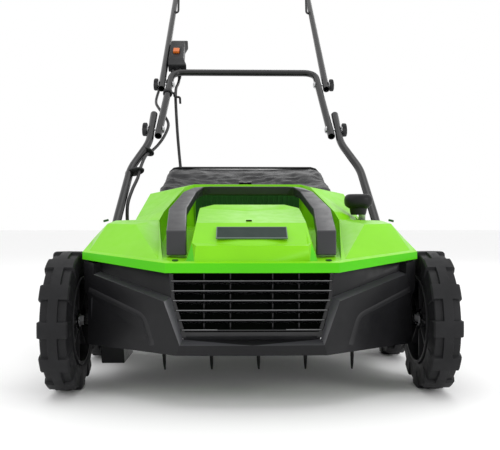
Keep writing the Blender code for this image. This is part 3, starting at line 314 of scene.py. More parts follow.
def round_edges(obj, width, segments, angle):
    change = obj.modifiers.new("round", "BEVEL")
    change.width = width
    change.segments = segments
    change.limit_method = "ANGLE"
    change.angle_limit = math.radians(angle)
    change.harden_normals = True
    change.use_clamp_overlap = True


def mesh_of(name, vertices, faces):
    mesh = bpy.data.meshes.new(name)
    mesh.from_pydata([tuple(v) for v in vertices], [], faces)
    work = bmesh.new()
    work.from_mesh(mesh)
    bmesh.ops.recalc_face_normals(work, faces=work.faces)
    work.to_mesh(mesh)
    work.free()
    return mesh


def joined(name, meshes):
    """One mesh from several."""
    work = bmesh.new()
    for mesh in meshes:
        work.from_mesh(mesh)
        bpy.data.meshes.remove(mesh)
    made = bpy.data.meshes.new(name)
    work.to_mesh(made)
    work.free()
    return made


def strips(rings, count, closed=False):
    """The faces between neighbouring rings of count points each."""
    faces = []
    for i in range(rings if closed else rings - 1):
        j = (i + 1) % rings
        for k in range(count):
            m = (k + 1) % count
            faces.append((i * count + k, i * count + m, j * count + m, j * count + k))
    return faces


def lofted(name, rings, closed=False):
    """A skin over equal rings. Open lofts get end caps; a closed one joins its last ring to its first."""
    count = len(rings[0])
    vertices = [point for ring in rings for point in ring]
    caps = [] if closed else [tuple(range(count)), tuple((len(rings) - 1) * count + k for k in range(count))]
    return mesh_of(name, vertices, caps + strips(len(rings), count, closed))


def ring_angles(count):
    return [2 * math.pi * i / count for i in range(count)]


def round_x(x, centre, radius, angle):
    """A point at x, at this radius and angle from the X axis through centre (y, z)."""
    return (x, centre[0] + radius * math.cos(angle), centre[1] + radius * math.sin(angle))


def turned_x(name, profile, centre, count):
    """Revolves a closed loop of (x, radius) points about the X axis through centre (y, z)."""
    rings = [[round_x(x, centre, r, angle) for x, r in profile] for angle in ring_angles(count)]
    return lofted(name, rings, closed=True)


def disc_x(name, steps, centre, count=24):
    """A solid turned about the X axis from (x, radius) steps."""
    return lofted(name, [[round_x(x, centre, r, angle) for angle in ring_angles(count)] for x, r in steps])


def along_axis(name, steps, base, axis, count=20):
    """A solid turned about any axis from (height, radius) steps."""
    axis = Vector(axis).normalized()
    side = axis.orthogonal().normalized()
    up = axis.cross(side)
    base = Vector(base)
    rings = []
    for height, r in steps:
        rings.append([base + axis * height + side * r * math.cos(a) + up * r * math.sin(a)
                      for a in ring_angles(count)])
    return lofted(name, rings)


def block(name, low, high):
    corners = [(x, y, z) for x in (low[0], high[0]) for y in (low[1], high[1]) for z in (low[2], high[2])]
    faces = [(0, 1, 3, 2), (4, 6, 7, 5), (0, 4, 5, 1), (2, 3, 7, 6), (0, 2, 6, 4), (1, 5, 7, 3)]
    return mesh_of(name, corners, faces)


def section_rings(path, radius, sides, squeeze=None):
    """Round sections along a path. radius may depend on the share of the path, and squeeze(point) gives the
    factors that widen and thin the section there."""
    path = [Vector(p) for p in path]
    rings = []
    across = None
    for i, point in enumerate(path):
        ahead = (path[min(i + 1, len(path) - 1)] - path[max(i - 1, 0)]).normalized()
        if across is None:
            across = Vector((1, 0, 0)) if abs(ahead.x) < 0.9 else Vector((0, 0, 1))
        across = (across - ahead * across.dot(ahead)).normalized()
        side = ahead.cross(across)
        r = radius(i / (len(path) - 1)) if callable(radius) else radius
        wide, thin = squeeze(point) if squeeze else (1.0, 1.0)
        rings.append([point + r * thin * math.cos(a) * across + r * wide * math.sin(a) * side
                      for a in ring_angles(sides)])
    return rings


def swept(name, path, radius, sides):
    return lofted(name, section_rings(path, radius, sides))


def hollow_swept(name, path, radius, wall, sides, squeeze):
    outer = section_rings(path, radius, sides, squeeze)
    inner = section_rings(path, radius - wall, sides, squeeze)
    return lofted(name, outer + inner[::-1], closed=True)


def rounded(points, radius, steps=8):
    """A path through the points, with a curve that starts this far before each corner."""
    points = [Vector(p) for p in points]
    path = [points[0]]
    for before, corner, after in zip(points, points[1:], points[2:]):
        back = (before - corner).normalized() * radius
        on = (after - corner).normalized() * radius
        for i in range(steps + 1):
            t = i / steps
            path.append((1 - t) ** 2 * (corner + back) + 2 * t * (1 - t) * corner + t**2 * (corner + on))
    path.append(points[-1])
    return path


def densified(path, step):
    """Extra points on straight runs, so that a section can change along them."""
    out = [path[0]]
    for a, b in zip(path, path[1:]):
        count = max(1, round((b - a).length / step))
        out += [a.lerp(b, (i + 1) / count) for i in range(count)]
    return out


def smooth_path(route, count):
    """Evenly stepped points on a Catmull-Rom curve through the route's own points."""
    route = [Vector(p) for p in route]
    padded = [2 * route[0] - route[1], *route, 2 * route[-1] - route[-2]]
    fine = []
    for a, b, c, d in zip(padded, padded[1:], padded[2:], padded[3:]):
        for i in range(24):
            t = i / 24
            fine.append(0.5 * (2 * b + (c - a) * t + (2 * a - 5 * b + 4 * c - d) * t**2
                               + (3 * b - a - 3 * c + d) * t**3))
    fine.append(route[-1])
    lengths = [0.0]
    for a, b in zip(fine, fine[1:]):
        lengths.append(lengths[-1] + (b - a).length)
    path = []
    j = 0
    for i in range(count):
        target = lengths[-1] * i / (count - 1)
        while j < len(fine) - 2 and lengths[j + 1] < target:
            j += 1
        span = max(lengths[j + 1] - lengths[j], 1e-9)
        path.append(fine[j].lerp(fine[j + 1], min((target - lengths[j]) / span, 1.0)))
    return path


def on_handle(x, along, lift=0.0):
    """A point on the handle's sloping plane: along is measured from its base, lift is square to it."""
    c, s = math.cos(HANDLE_SLOPE), math.sin(HANDLE_SLOPE)
    return Vector((x, HANDLE_BASE[0] + along * c - lift * s, HANDLE_BASE[1] + along * s + lift * c))


def placed(mesh):
    """Moves a mesh built as (x, along, lift) onto the handle's plane."""
    for vertex in mesh.vertices:
        vertex.co = on_handle(*vertex.co)
    return mesh


def refined(node, material, bevel, segments=3, angle=20.0):
    """Stands for a CAD node: its own faces joined into flat panels, with rounded moulded edges."""
    work = bmesh.new()
    work.from_mesh(NODES[node].data)
    bmesh.ops.remove_doubles(work, verts=work.verts, dist=0.00002)
    bmesh.ops.dissolve_limit(work, angle_limit=math.radians(0.8), verts=work.verts, edges=work.edges)
    mesh = bpy.data.meshes.new(f"{node}_moulded")
    work.to_mesh(mesh)
    work.free()
    return stand_in(node, f"{node}_moulded", mesh, material, angle, bevel, segments)


def dress(node, material):
    """Keeps a CAD node as it is and gives it its finish."""
    mesh = NODES[node].data
    mesh.materials.clear()
    mesh.materials.append(MATERIALS[material])


# Cables: a route's points are (x, along, lift) on the handle, or (x, y, z) with y from the front axle.

CABLE_RADIUS = 0.00325
MAINS_RADIUS = 0.0035
MOTOR_CABLE_UPPER = [
    (-0.1760, 0.5899, -0.0050), (-0.1762, 0.5850, -0.0075), (-0.1810, 0.5760, -0.0150),
    (-0.1920, 0.5600, -0.0210), (-0.2050, 0.5300, -0.0240), (-0.2085, 0.5000, -0.0240),
    (-0.2085, 0.4700, -0.0210),
    (-0.2050, 0.4450, -0.0170), (-0.1960, 0.4200, -0.0150),
]
MOTOR_CABLE_LOWER = [
    (-0.1958, 0.4195, -0.0150), (-0.1860, 0.3980, -0.0145), (-0.1730, 0.3650, -0.0140),
    (-0.1710, 0.3400, -0.0150), (-0.1780, 0.3050, -0.0170), (-0.1880, 0.2700, -0.0150),
    (-0.1990, 0.2350, -0.0080), (-0.2060, 0.2050, 0.0020), (-0.2110, 0.1600, 0.0060),
    (-0.2130, 0.1240, 0.0060), (-0.2200, 0.0870, 0.0040), (-0.2250, 0.0500, -0.0020),
]
MOTOR_CABLE_END = [
    (-0.2245, 0.3010, 0.2450), (-0.2215, 0.3020, 0.2080), (-0.2185, 0.3010, 0.1860),
    (-0.2170, 0.2950, 0.1760), (-0.2165, 0.2863, 0.1740),
]
MAINS_LEAD = [
    (-0.1580, 0.72520, 0.62310), (-0.1582, 0.7211, 0.6177), (-0.1588, 0.7190, 0.6080),
    (-0.1600, 0.7080, 0.5925), (-0.1615, 0.6920, 0.5810),
    (-0.1635, 0.6700, 0.5680), (-0.1635, 0.6550, 0.5480), (-0.1625, 0.6520, 0.5200),
    (-0.1590, 0.6520, 0.4600), (-0.1540, 0.6520, 0.4000), (-0.1480, 0.6520, 0.3400),
    (-0.1430, 0.6520, 0.2700), (-0.1410, 0.6520, 0.2200),
]


def from_axle(points):
    return [Vector((x, AXLE_Y + y, z)) for x, y, z in points]


def free_cord(name, path, radius, replaces):
    """A cable as a fixed mesh tube on no body, in the place of a CAD cable node."""
    cable = piece(name, swept(name, path, radius, 14), "sheath", None, (replaces,), 60)
    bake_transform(cable)


def strain_relief(name, path, body, wide, narrow, reach):
    """A tapered, grooved rubber sleeve over the first stretch of a cable."""
    grooves = 7
    length = 0.0
    stretch = [path[0]]
    for a, b in zip(path, path[1:]):
        if length >= reach:
            break
        stretch.append(b)
        length += (b - a).length
    stretch = smooth_path(stretch, grooves * 6 + 1)

    def radius(share):
        groove = 0.12 * (0.5 + 0.5 * math.cos(2 * math.pi * grooves * share)) if share < 0.9 else 0.0
        return (wide + (narrow - wide) * share) * (1 - groove)

    return piece(name, swept(name, stretch, radius, 16), "sheath", body, angle=50)


def make_cables():
    plug = make_plug()
    lead = smooth_path(from_axle(MAINS_LEAD), 90)
    free_cord("mains_cord", lead, MAINS_RADIUS,
              "mains_lead")
    strain_relief("mains_strain_relief", lead, "handle_upper", 0.0062, 0.0042, 0.024)
    upper = smooth_path([on_handle(*p) for p in MOTOR_CABLE_UPPER], 44)
    free_cord("motor_cord_upper", upper, CABLE_RADIUS,
              "motor_cable_upper")
    strain_relief("motor_strain_relief", upper, "handle_upper", 0.0060, 0.0040, 0.024)
    lower = smooth_path([on_handle(*p) for p in MOTOR_CABLE_LOWER] + from_axle(MOTOR_CABLE_END), 110)
    gland = strain_relief("gland", lower[::-1], "deck", 0.0078, 0.0042, 0.026)
    free_cord("motor_cord_lower", lower, CABLE_RADIUS,
              "motor_cable_lower")


def make_plug():
    """Moulded plug with a waisted grip, hanging from the end of the lead."""
    low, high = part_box("mains_plug")
    x, y = (low.x + high.x) / 2, (low.y + high.y) / 2
    top = high.z
    rings = []
    steps = [(0.0000, 0.0048, 0.0048), (0.010, 0.0056, 0.0054), (0.018, 0.0064, 0.0060),
             (0.0215, 0.0120, 0.0088), (0.026, 0.0152, 0.0102), (0.034, 0.0140, 0.0092),
             (0.042, 0.0158, 0.0104), (0.0495, 0.0160, 0.0105), (0.0500, 0.0150, 0.0096)]
    for down, half, thick in steps:
        ring = []
        for a in ring_angles(32):
            c, s = math.cos(a), math.sin(a)
            ring.append((x + half * math.copysign(abs(c) ** 0.6, c),
                         y + thick * math.copysign(abs(s) ** 0.6, s), top - down))
        rings.append(ring)
    plug = stand_in("mains_plug", "plug_moulded", lofted("plug_moulded", rings), "black", 40)
    blades = [block("blade", (x + o - 0.0008, y - 0.0032, low.z), (x + o + 0.0008, y + 0.0032, top - 0.045))
              for o in (-0.0065, 0.0065)]
    metal = piece("plug_blades", blades, "zinc", "handle_middle", bevel=0.0003)
    metal.parent = plug
    metal.matrix_parent_inverse = Matrix.Identity(4)
    return plug


# Wheels


def tyre_mesh(name, low, high, centre, radius, bore):
    """Chunky tyre: a smooth middle rib, with lugs and square pockets along both edges."""
    lugs = 12
    width = high - low
    steps = ((0.00, 0.0), (0.03, 1.0), (0.16, 1.0), (0.30, 1.0), (0.44, 1.0), (0.47, 0.0), (0.64, 0.0),
             (0.82, 0.0))
    rib = width * 0.155
    edge = [
        # distance in from the side at a pocket and at a lug, radius at a pocket and at a lug
        (0.0030, 0.0030, bore, bore), (0.0010, 0.0010, bore + 0.006, bore + 0.006),
        (0.0012, 0.0006, bore + 0.012, bore + 0.012), (0.0026, 0.0000, radius - 0.0105, radius - 0.0085),
        (0.0032, 0.0006, radius - 0.0060, radius - 0.0030),
        (0.0045, 0.0028, radius - 0.0046, radius - 0.0004),
        (width / 2 - rib - 0.0008, width / 2 - rib - 0.0008, radius - 0.0040, radius - 0.0001),
        (width / 2 - rib, width / 2 - rib, radius - 0.0002, radius - 0.0002),
    ]
    rings = []
    for lug in range(lugs):
        for share, up in steps:
            angle = 2 * math.pi * (lug + share - 0.22) / lugs - math.pi / 2
            half = [(p[0] + (p[1] - p[0]) * up, p[2] + (p[3] - p[2]) * up) for p in edge]
            near = [(low + x, r) for x, r in half]
            far = [(high - x, r) for x, r in half[::-1]]
            loop = [*near, (low + width / 2, radius), *far]
            rings.append([round_x(x, centre, r, angle) for x, r in loop])
    return lofted(name, rings, closed=True)


def hub_mesh(name, low, high, centre, radius, inward):
    """Dished hub with a deep rim, a web, radial ribs on both faces and a centre boss."""
    middle = (low + high) / 2
    rim = radius - 0.0045
    boss_low = low + (0.0085 if inward < 0 else 0.0045)
    boss_high = high - (0.0085 if inward > 0 else 0.0045)
    profile = [(low, radius), (low, rim), (middle - 0.003, rim - 0.003), (middle - 0.003, 0.017),
               (boss_low, 0.0155), (boss_low, 0.0056), (boss_high, 0.0056), (boss_high, 0.0155),
               (middle + 0.003, 0.017), (middle + 0.003, rim - 0.003), (high, rim), (high, radius)]
    parts = [turned_x("hub", profile, centre, 64)]
    for angle in ring_angles(8):
        for x_low, x_high in ((low + 0.006, middle), (middle, high - 0.006)):
            rib = block("rib", (x_low, 0.0145, -0.0018), (x_high, rim - 0.0005, 0.0018))
            rib.transform(Matrix.Translation((0, *centre)) @ Matrix.Rotation(angle, 4, "X"))
            parts.append(rib)
    return joined(name, parts)


def make_wheel(side, end, sign):
    tyre = f"tyre_{end}_{side}"
    hub = f"wheel_hub_{end}_{side}"
    low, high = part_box(tyre)
    centre = ((low.y + high.y) / 2, (low.z + high.z) / 2)
    hub_low, hub_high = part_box(hub)
    hub_radius = (hub_high.z - hub_low.z) / 2
    mesh = tyre_mesh(f"{tyre}_tread", low.x, high.x, centre, centre[1], hub_radius + 0.0002)
    stand_in(tyre, f"{tyre}_tread", mesh, "tyre", 28, 0.0005)
    mesh = hub_mesh(f"{hub}_spoked", hub_low.x, hub_high.x, centre, hub_radius, -sign)
    stand_in(hub, f"{hub}_spoked", mesh, "black", 30, 0.0007)
    outer = sign * max(abs(low.x), abs(high.x))
    steps = [(outer - sign * inset, r) for inset, r in
             ((0.0050, 0.0105), (0.0035, 0.0110), (0.0018, 0.0085), (0.0010, 0.0040))]
    cap = disc_x(f"axle_cap_{end}_{side}", steps, centre)
    piece(f"axle_cap_{end}_{side}", cap, "zinc", f"{end}_wheel_{side}", angle=40)


def make_axles():
    """Cranked front axle, straight rear axle, and the nuts inside the wheels."""
    refined("front_axle", "tube", 0.0009, 2, 25)
    refined("rear_axle", "zinc", 0.0005, 2, 25)
    for end, body, inner in (("front", "crank", 0.2404), ("rear", "deck", 0.2325)):
        joint = JOINTS[f"{end}_wheel_left_spin"]["pos_m"]
        centre = (joint[1], joint[2])
        nuts = []
        for sign in (-1, 1):
            nut = [(sign * inner, 0.0075), (sign * (inner + 0.006), 0.0075)]
            washer = [(sign * (inner + 0.006), 0.0095), (sign * (inner + 0.0074), 0.0095)]
            nuts += [disc_x("nut", nut, centre, 6), disc_x("washer", washer, centre)]
        piece(f"{end}_axle_nuts", nuts, "zinc", body, bevel=0.0004, angle=40)


# Body


def make_cover():
    cover = refined("top_cover", "green", 0.0014, 3, 12)
    # Painted shade: the cover's steep front faces below the top take the darker green copy.
    cover.data.materials.append(MATERIALS["green_lip_shade"])
    for face in cover.data.polygons:
        if abs(face.normal.z) < 0.5 and face.center.z < 0.2 and face.center.y < AXLE_Y:
            face.material_index = 1
    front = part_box("top_cover")[0].y
    # Dark green discs round the cover screws are painted shade in their wells.
    well = [(-0.002, 0.0042), (0.0009, 0.0042), (0.0011, 0.0036), (0.0001, 0.0034)]
    screw = [(-0.002, 0.0026), (0.0006, 0.0026), (0.0008, 0.0018)]
    screws, wells = [], []
    for sign in (-1, 1):
        for x, y, z, axis in (
            (0.0985, front + 0.0130, 0.1925, (0, -0.10, 1)),
            (0.2200, front + 0.1950, 0.2452, (0.25, 0, 1)),
        ):
            base = Vector((sign * x, y, z))
            lean = (sign * axis[0], axis[1], axis[2])
            wells.append(along_axis("well", well, base, lean))
            screws.append(along_axis("screw", screw, base, lean, 6))
    piece("screw_well_shade", wells, "green_recess_shade", "deck", angle=40)
    piece("cover_screws", screws, "case", "deck", angle=40)
    # A near-black block is painted shade inside the pod slot.
    slot = block("pod_slot_shade", (-0.0070, front + 0.0665, 0.2428), (0.0010, front + 0.0715, 0.2449))
    piece("pod_slot_shade", slot, "hole", "deck", bevel=0.0005)
    # The finger recess ribs and a panel behind them are dark green: painted shade on the recess wall.
    ribs = []
    wall_y = front + 0.3365
    for i in range(19):
        x = -0.0810 + 0.1620 * i / 18
        low, high = (x - 0.0012, wall_y - 0.0060, 0.2420), (x + 0.0012, wall_y + 0.0015, 0.2980)
        ribs.append(block("rib", low, high))
    ribs.append(block("wall", (-0.0900, wall_y - 0.0030, 0.2380), (0.0900, wall_y + 0.0015, 0.2990)))
    piece("finger_recess_ribs_shade", ribs, "green_recess_shade", "deck",
          bevel=0.0004)


def make_housing():
    housing = refined("deck_housing", "black", 0.0014, 3, 33)
    # Painted highlight: small faces on the front panels that face up or inwards take the lighter black, as if
    # lit.
    housing.data.materials.append(MATERIALS["ledge_highlight"])
    for face in housing.data.polygons:
        spot = face.center
        on_front = spot.y < AXLE_Y - 0.03 and 0.082 < spot.z < 0.178 and abs(spot.x) > 0.05
        if on_front and face.area < 0.0022 and (face.normal.z > 0.4 or face.normal.x * spot.x < 0):
            face.material_index = 1
    refined("belt_cover", "case", 0.0016, 3, 20)
    refined("carry_handle", "grey", 0.0020, 4, 14)
    refined("bearing_plate_left", "black", 0.0006, 2, 30)
    refined("bearing_plate_right", "black", 0.0006, 2, 30)
    refined("chassis_plate", "tube", 0.0004, 2, 30)
    make_embossed_lines()
    bolts = []
    for sign in (-1, 1):
        for y, z in ((AXLE_Y + 0.170, 0.105), (AXLE_Y + 0.235, 0.160)):
            steps = [(sign * 0.2288, 0.0065), (sign * 0.2318, 0.0065), (sign * 0.2332, 0.0045)]
            bolts.append(disc_x("bolt", steps, (y, z), 6))
        steps = [(sign * 0.2330, 0.0040), (sign * 0.2347, 0.0040), (sign * 0.2354, 0.0026)]
        bolts.append(disc_x("bolt", steps, (AXLE_Y - 0.012, 0.160), 20))
    piece("housing_bolts", bolts, "zinc", "deck", angle=40)


def make_embossed_lines():
    """The soft raised line across each side panel of the housing."""
    source = NODES["deck_housing"].data
    faces = [tuple(f.vertices) for f in source.polygons]
    shell = BVHTree.FromPolygons([v.co for v in source.vertices], faces)
    # the section as (across the line, out of the panel)
    section = ((-0.0050, -0.0006), (-0.0022, 0.0009), (0.0010, 0.0012), (0.0050, -0.0006), (0.0, -0.0010))
    meshes = []
    for sign in (-1, 1):
        corners = [(sign * 0.2260, 0, 0.1480), (sign * 0.1430, 0, 0.1180), (sign * 0.1310, 0, 0.0800)]
        path = densified(rounded(corners, 0.010, 6), 0.006)
        rings = []
        for i, spot in enumerate(path):
            ahead = (path[min(i + 1, len(path) - 1)] - path[max(i - 1, 0)]).normalized()
            across = Vector((-ahead.z, 0, ahead.x))
            ring = []
            for side, out in section:
                at = spot + across * side
                hit = shell.ray_cast(Vector((at.x, -2.0, at.z)), Vector((0, 1, 0)))[0]
                ring.append((at.x, hit.y - out, at.z))
            rings.append(ring)
        meshes.append(lofted("line", rings))
    piece("embossed_lines", meshes, "black", "deck", angle=60)


def make_grille():
    """Tilted louvres between two side rails, with four upright ribs behind them. Pale strips on the slats'
    front edges are painted highlights, and a dark screen behind them is painted shade.
    """
    low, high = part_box("front_grille")
    front, back = low.y - 0.0035, high.y
    levels = [(0.0865, 0.0895), (0.1434, 0.1063), (0.1735, 0.1082)]

    def half_at(z):
        (z0, h0), (z1, h1) = levels[:2] if z < levels[1][0] else levels[1:]
        return h0 + (h1 - h0) * (z - z0) / (z1 - z0) - 0.0006

    parts, edges = [], []
    for i in range(6):
        z = 0.1005 + i * 0.0128
        half = half_at(z)
        section = [(front, z + 0.0004), (front + 0.0006, z + 0.0010), (front + 0.0030, z + 0.0008),
                   (back + 0.003, z - 0.0042), (back + 0.003, z - 0.0060), (front + 0.0030, z - 0.0012),
                   (front + 0.0006, z - 0.0012), (front, z - 0.0006)]
        parts.append(lofted("slat", [[(x, *p) for p in section] for x in (-half, half)]))
        # A thin pale strip along each slat's front edge: painted highlight.
        reach = half - 0.0015
        spans = ((-reach, -0.045), (0.045, reach)) if i == 0 else ((-reach, reach),)
        for left, right in spans:
            low_corner, high_corner = (left, front - 0.0002, z + 0.0002), (right, front + 0.0004, z + 0.0010)
            edges.append(block("edge", low_corner, high_corner))
    for x in (-0.063, -0.028, 0.028, 0.063):
        parts.append(block("rib", (x - 0.0007, back + 0.0010, 0.0990), (x + 0.0007, back + 0.0040, 0.1740)))
    for sign in (-1, 1):
        rail = []
        for z, half in levels:
            outer, inner = sign * (half - 0.0004), sign * (half - 0.0050)
            rail.append([(outer, front + 0.002, z), (outer, back, z),
                         (inner, back, z), (inner, front + 0.003, z)])
        parts.append(lofted("rail", rail))
    sill = ((front + 0.003, 0.0870), (back, 0.0870), (back, 0.0975), (front + 0.003, 0.0975))
    parts.append(lofted("sill", [[(sign * half_at(0.0870), y, z) for y, z in sill] for sign in (-1, 1)]))
    stand_in("front_grille", "grille_louvres", parts, "case", 40)
    piece("grille_edge_highlights", edges, "slat_edge_highlight", "deck", angle=40)
    # A near-black sheet behind the louvres: painted shade inside the housing.
    near, far = back + 0.0060, back + 0.0072
    rows = []
    for z in (0.0880, 0.1434, 0.1735):
        half = half_at(z)
        rows.append([(-half, near, z), (-half, far, z), (half, far, z), (half, near, z)])
    piece("grille_shade_screen", lofted("grille_shade_screen", rows), "hole", "deck", angle=40)


def make_name_plate():
    """Blank plate: a dark face inside a thin raised rim."""
    low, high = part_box("name_plate")
    lean = math.atan2(0.2410 - 0.2115, 0.0465)
    centre = (low + high) / 2
    turn = Matrix.Translation(centre) @ Matrix.Rotation(lean, 4, "X") @ Matrix.Translation((0, 0, 0.0007))
    half_x, half_y = 0.0465, 0.0135
    rim_width = 0.0012
    face = block("face", (rim_width - half_x, rim_width - half_y, -0.0006),
                 (half_x - rim_width, half_y - rim_width, 0.0007))
    face.transform(turn)
    stand_in("name_plate", "name_plate_face", face, "plate", bevel=0.0002)
    outline = [(-half_x, -half_y), (half_x, -half_y), (half_x, half_y), (-half_x, half_y)]
    rings = []
    section = ((0, -0.0008), (0, 0.0009), (0.0002, 0.0011), (0.0011, 0.0011), (0.0013, 0.0006),
               (0.0013, -0.0008))
    for inset, height in section:
        rings.append([(x - math.copysign(inset, x), y - math.copysign(inset, y), height) for x, y in outline])
    rim = lofted("name_plate_rim", rings, closed=True)
    rim.transform(turn)
    piece("name_plate_rim", rim, "plate_rim", "deck", angle=40)


def make_height_lever():
    refined("height_lever", "zinc", 0.0006, 2, 30)
    low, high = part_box("height_knob")
    centre = (low + high) / 2
    half = (high - low) / 2
    steps = [(0.000, 0.50), (0.004, 0.56), (0.010, 0.60), (0.0125, 0.80), (0.0150, 0.93), (0.0185, 0.985),
             (0.0235, 1.0), (0.0270, 0.985), (0.0300, 0.93), (0.0325, 0.82), (0.0333, 0.68), (0.0335, 0.40)]
    rings = []
    for height, share in steps:
        ring = []
        for a in ring_angles(40):
            dent = 1.0 - 0.035 * math.cos(4 * a) if share > 0.7 else 1.0
            ring.append((centre.x + half.x * share * dent * math.cos(a),
                         centre.y + half.y * share * dent * math.sin(a), low.z + height))
        rings.append(ring)
    stand_in("height_knob", "height_knob_moulded", lofted("height_knob_moulded", rings), "black", 38)


# Tine rotor


def make_tines():
    """Spring tines: a coiled eye round the shaft and two flat arms that curve at their ends."""
    centre = JOINTS["rotor_spin"]["pos_m"][1:]
    # reach from the shaft's axis, sideways curve, half width and half thickness
    sections = ((0.0135, -0.0030, 0.0036, 0.0022), (0.030, -0.0018, 0.0034, 0.0022),
                (0.048, -0.0008, 0.0032, 0.0021), (0.064, 0.0004, 0.0029, 0.0020),
                (0.076, 0.0024, 0.0024, 0.0017), (0.0862, 0.0058, 0.0014, 0.0010))
    coil_radius, turns, per_turn = 0.0136, 2.25, 22
    coil_steps = round(turns * per_turn)
    for number in range(1, 11):
        node = f"spring_tine_{number:02d}"
        low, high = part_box(node)
        x = (low.x + high.x) / 2
        upright = high.z - low.z > high.y - low.y
        parts = []
        for end in (0, 1):
            base = (math.pi / 2 if upright else 0.0) + end * math.pi
            c, s = math.cos(base), math.sin(base)
            rings = []
            for reach, side, half_x, half_t in sections:
                bend = 0.0016 * (1 - (reach / 0.05 - 1) ** 2)
                ring = []
                for a in ring_angles(12):
                    u = side + half_t * math.sin(a)
                    ring.append((x - bend + half_x * math.cos(a), centre[0] + reach * c - u * s,
                                 centre[1] + reach * s + u * c))
                rings.append(ring)
            parts.append(lofted("arm", rings))
        coil = []
        for i in range(coil_steps + 1):
            along = x - 0.0032 + 0.0064 * i / (turns * per_turn)
            coil.append(round_x(along, centre, coil_radius, 2 * math.pi * i / per_turn))
        parts.append(swept("coil", coil, 0.0020, 10))
        stand_in(node, f"{node}_sprung", parts, "spring", 50)
    refined("rotor_shaft", "zinc", 0.0004, 2, 30)
    dress("rotor_pulley", "black")
    dress("motor_pulley", "zinc")
    dress("drive_belt", "belt")
    dress("motor", "motor")


# Handle


def flattened(*alongs):
    """A section that is pressed thinner across X where the tubes are bolted together."""

    def shape(point):
        along = (point.y - HANDLE_BASE[0]) / math.cos(HANDLE_SLOPE)
        near = max([0.0, *[1 - ((along - spot) / 0.036) ** 2 for spot in alongs]])
        return 1 + 0.05 * near, 1 - 0.08 * near

    return shape


def tube_piece(node, route, bend, *bolted):
    path = densified([on_handle(*p) for p in rounded(route, bend)], 0.008)
    mesh = hollow_swept(f"{node}_bent", path, TUBE_RADIUS, TUBE_WALL, 24, flattened(*bolted))
    stand_in(node, f"{node}_bent", mesh, "tube", 50)


def make_tubes():
    for side, sign in (("left", -1), ("right", 1)):
        half = sign * LOWER_TUBE_HALF
        route = [(half, -0.120, 0), (half, 0.0, 0), (sign * 0.2320, 0.162, 0), (sign * 0.2035, 0.2585, 0),
                 (sign * 0.2035, 0.3735, 0)]
        tube_piece(f"lower_tube_{side}", route, 0.022, LOWER_PIVOT)
        bolts = []
        for along in (-0.098, -0.050):
            base = on_handle(half, along)
            steps = [(half + sign * out, r)
                     for out, r in ((0.0070, 0.0060), (0.0098, 0.0060), (0.0112, 0.0035))]
            bolts.append(disc_x("bolt", steps, (base.y, base.z), 6))
        piece(f"tube_bolts_{side}", bolts, "zinc", "deck", angle=40)
    route = [(-MIDDLE_FOOT_HALF, MIDDLE_FOOT, 0), (-CROSSBAR_HALF, CROSSBAR, 0), (CROSSBAR_HALF, CROSSBAR, 0),
             (MIDDLE_FOOT_HALF, MIDDLE_FOOT, 0)]
    tube_piece("middle_handle", route, 0.030)
    route = [(-UPPER_HALF, 0.490, 0), (-UPPER_HALF, GRIP, 0), (UPPER_HALF, GRIP, 0), (UPPER_HALF, 0.490, 0)]
    tube_piece("upper_handle", route, 0.055)


def make_wing_knobs():
    """Wing knobs with a domed hub, on domed carriage bolts with washers."""
    for level, along, head, outer in (("lower", LOWER_PIVOT, 0.1745, 0.2124),
                                      ("upper", UPPER_PIVOT, 0.1665, 0.2054)):
        place = on_handle(0, along)
        centre = (place.y, place.z)
        for side, sign in (("left", -1), ("right", 1)):
            rings = []
            for x, grow in ((0.0, 0.86), (0.0016, 1.0), (0.0076, 1.0), (0.0098, 0.90), (0.0106, 0.72)):
                ring = []
                for a in ring_angles(64):
                    wing = abs(math.cos(a)) ** 2.2
                    r = (0.0072 + 0.0086 * wing) * (grow if wing > 0.2 else 0.5 + grow / 2)
                    ring.append(round_x(sign * (outer + x), centre, r, a + HANDLE_SLOPE + 0.5))
                rings.append(ring)
            node = f"wing_knob_{level}_{side}"
            stand_in(node, f"{node}_moulded", lofted(node, rings), "black", 45)
            bolt = f"carriage_bolt_{level}_{side}"
            steps = [(head - 0.0002, 0.0030), (head + 0.0006, 0.0058), (head + 0.0020, 0.0070),
                     (head + 0.0030, 0.0070), (head + 0.0031, 0.0030), (outer + 0.0116, 0.0030)]
            parts = [disc_x("bolt", [(sign * x, r) for x, r in steps], centre)]
            for x in (head + 0.0032, outer - 0.0012):
                parts.append(disc_x("washer", [(sign * x, 0.0085), (sign * (x + 0.0010), 0.0085)], centre))
            stand_in(bolt, f"{bolt}_domed", parts, "zinc", 40)


def make_grip_and_bail():
    low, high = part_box("foam_grip")
    centre = ((low.y + high.y) / 2, (low.z + high.z) / 2)
    half = high.x
    steps = []
    count = 40
    for i in range(count + 1):
        x = -half + 2 * half * i / count
        end = 1 - min(1, (half - abs(x)) / 0.006)
        steps.append((x, 0.0134 - 0.0022 * end**2))
    profile = [(-half, 0.0084), *steps, (half, 0.0084)]
    stand_in("foam_grip", "foam_sleeve", turned_x("foam_sleeve", profile, centre, 32), "foam", 50)
    reach = GRIP - 0.004 - BAIL_PIVOT
    lift_angle = math.radians(38.0)
    x = 0.1830
    top_along = BAIL_PIVOT + reach * math.cos(lift_angle)
    top_lift = reach * math.sin(lift_angle)
    route = [(-0.2030, BAIL_PIVOT, 0), (-x, BAIL_PIVOT, 0), (-x, top_along, top_lift),
             (x, top_along, top_lift), (x, BAIL_PIVOT, 0), (0.2030, BAIL_PIVOT, 0)]
    path = [on_handle(*p) for p in rounded(route, 0.0085)]
    stand_in("bail_lever", "bail_wire", swept("bail_wire", path, 0.0030, 14), "tube", 50)


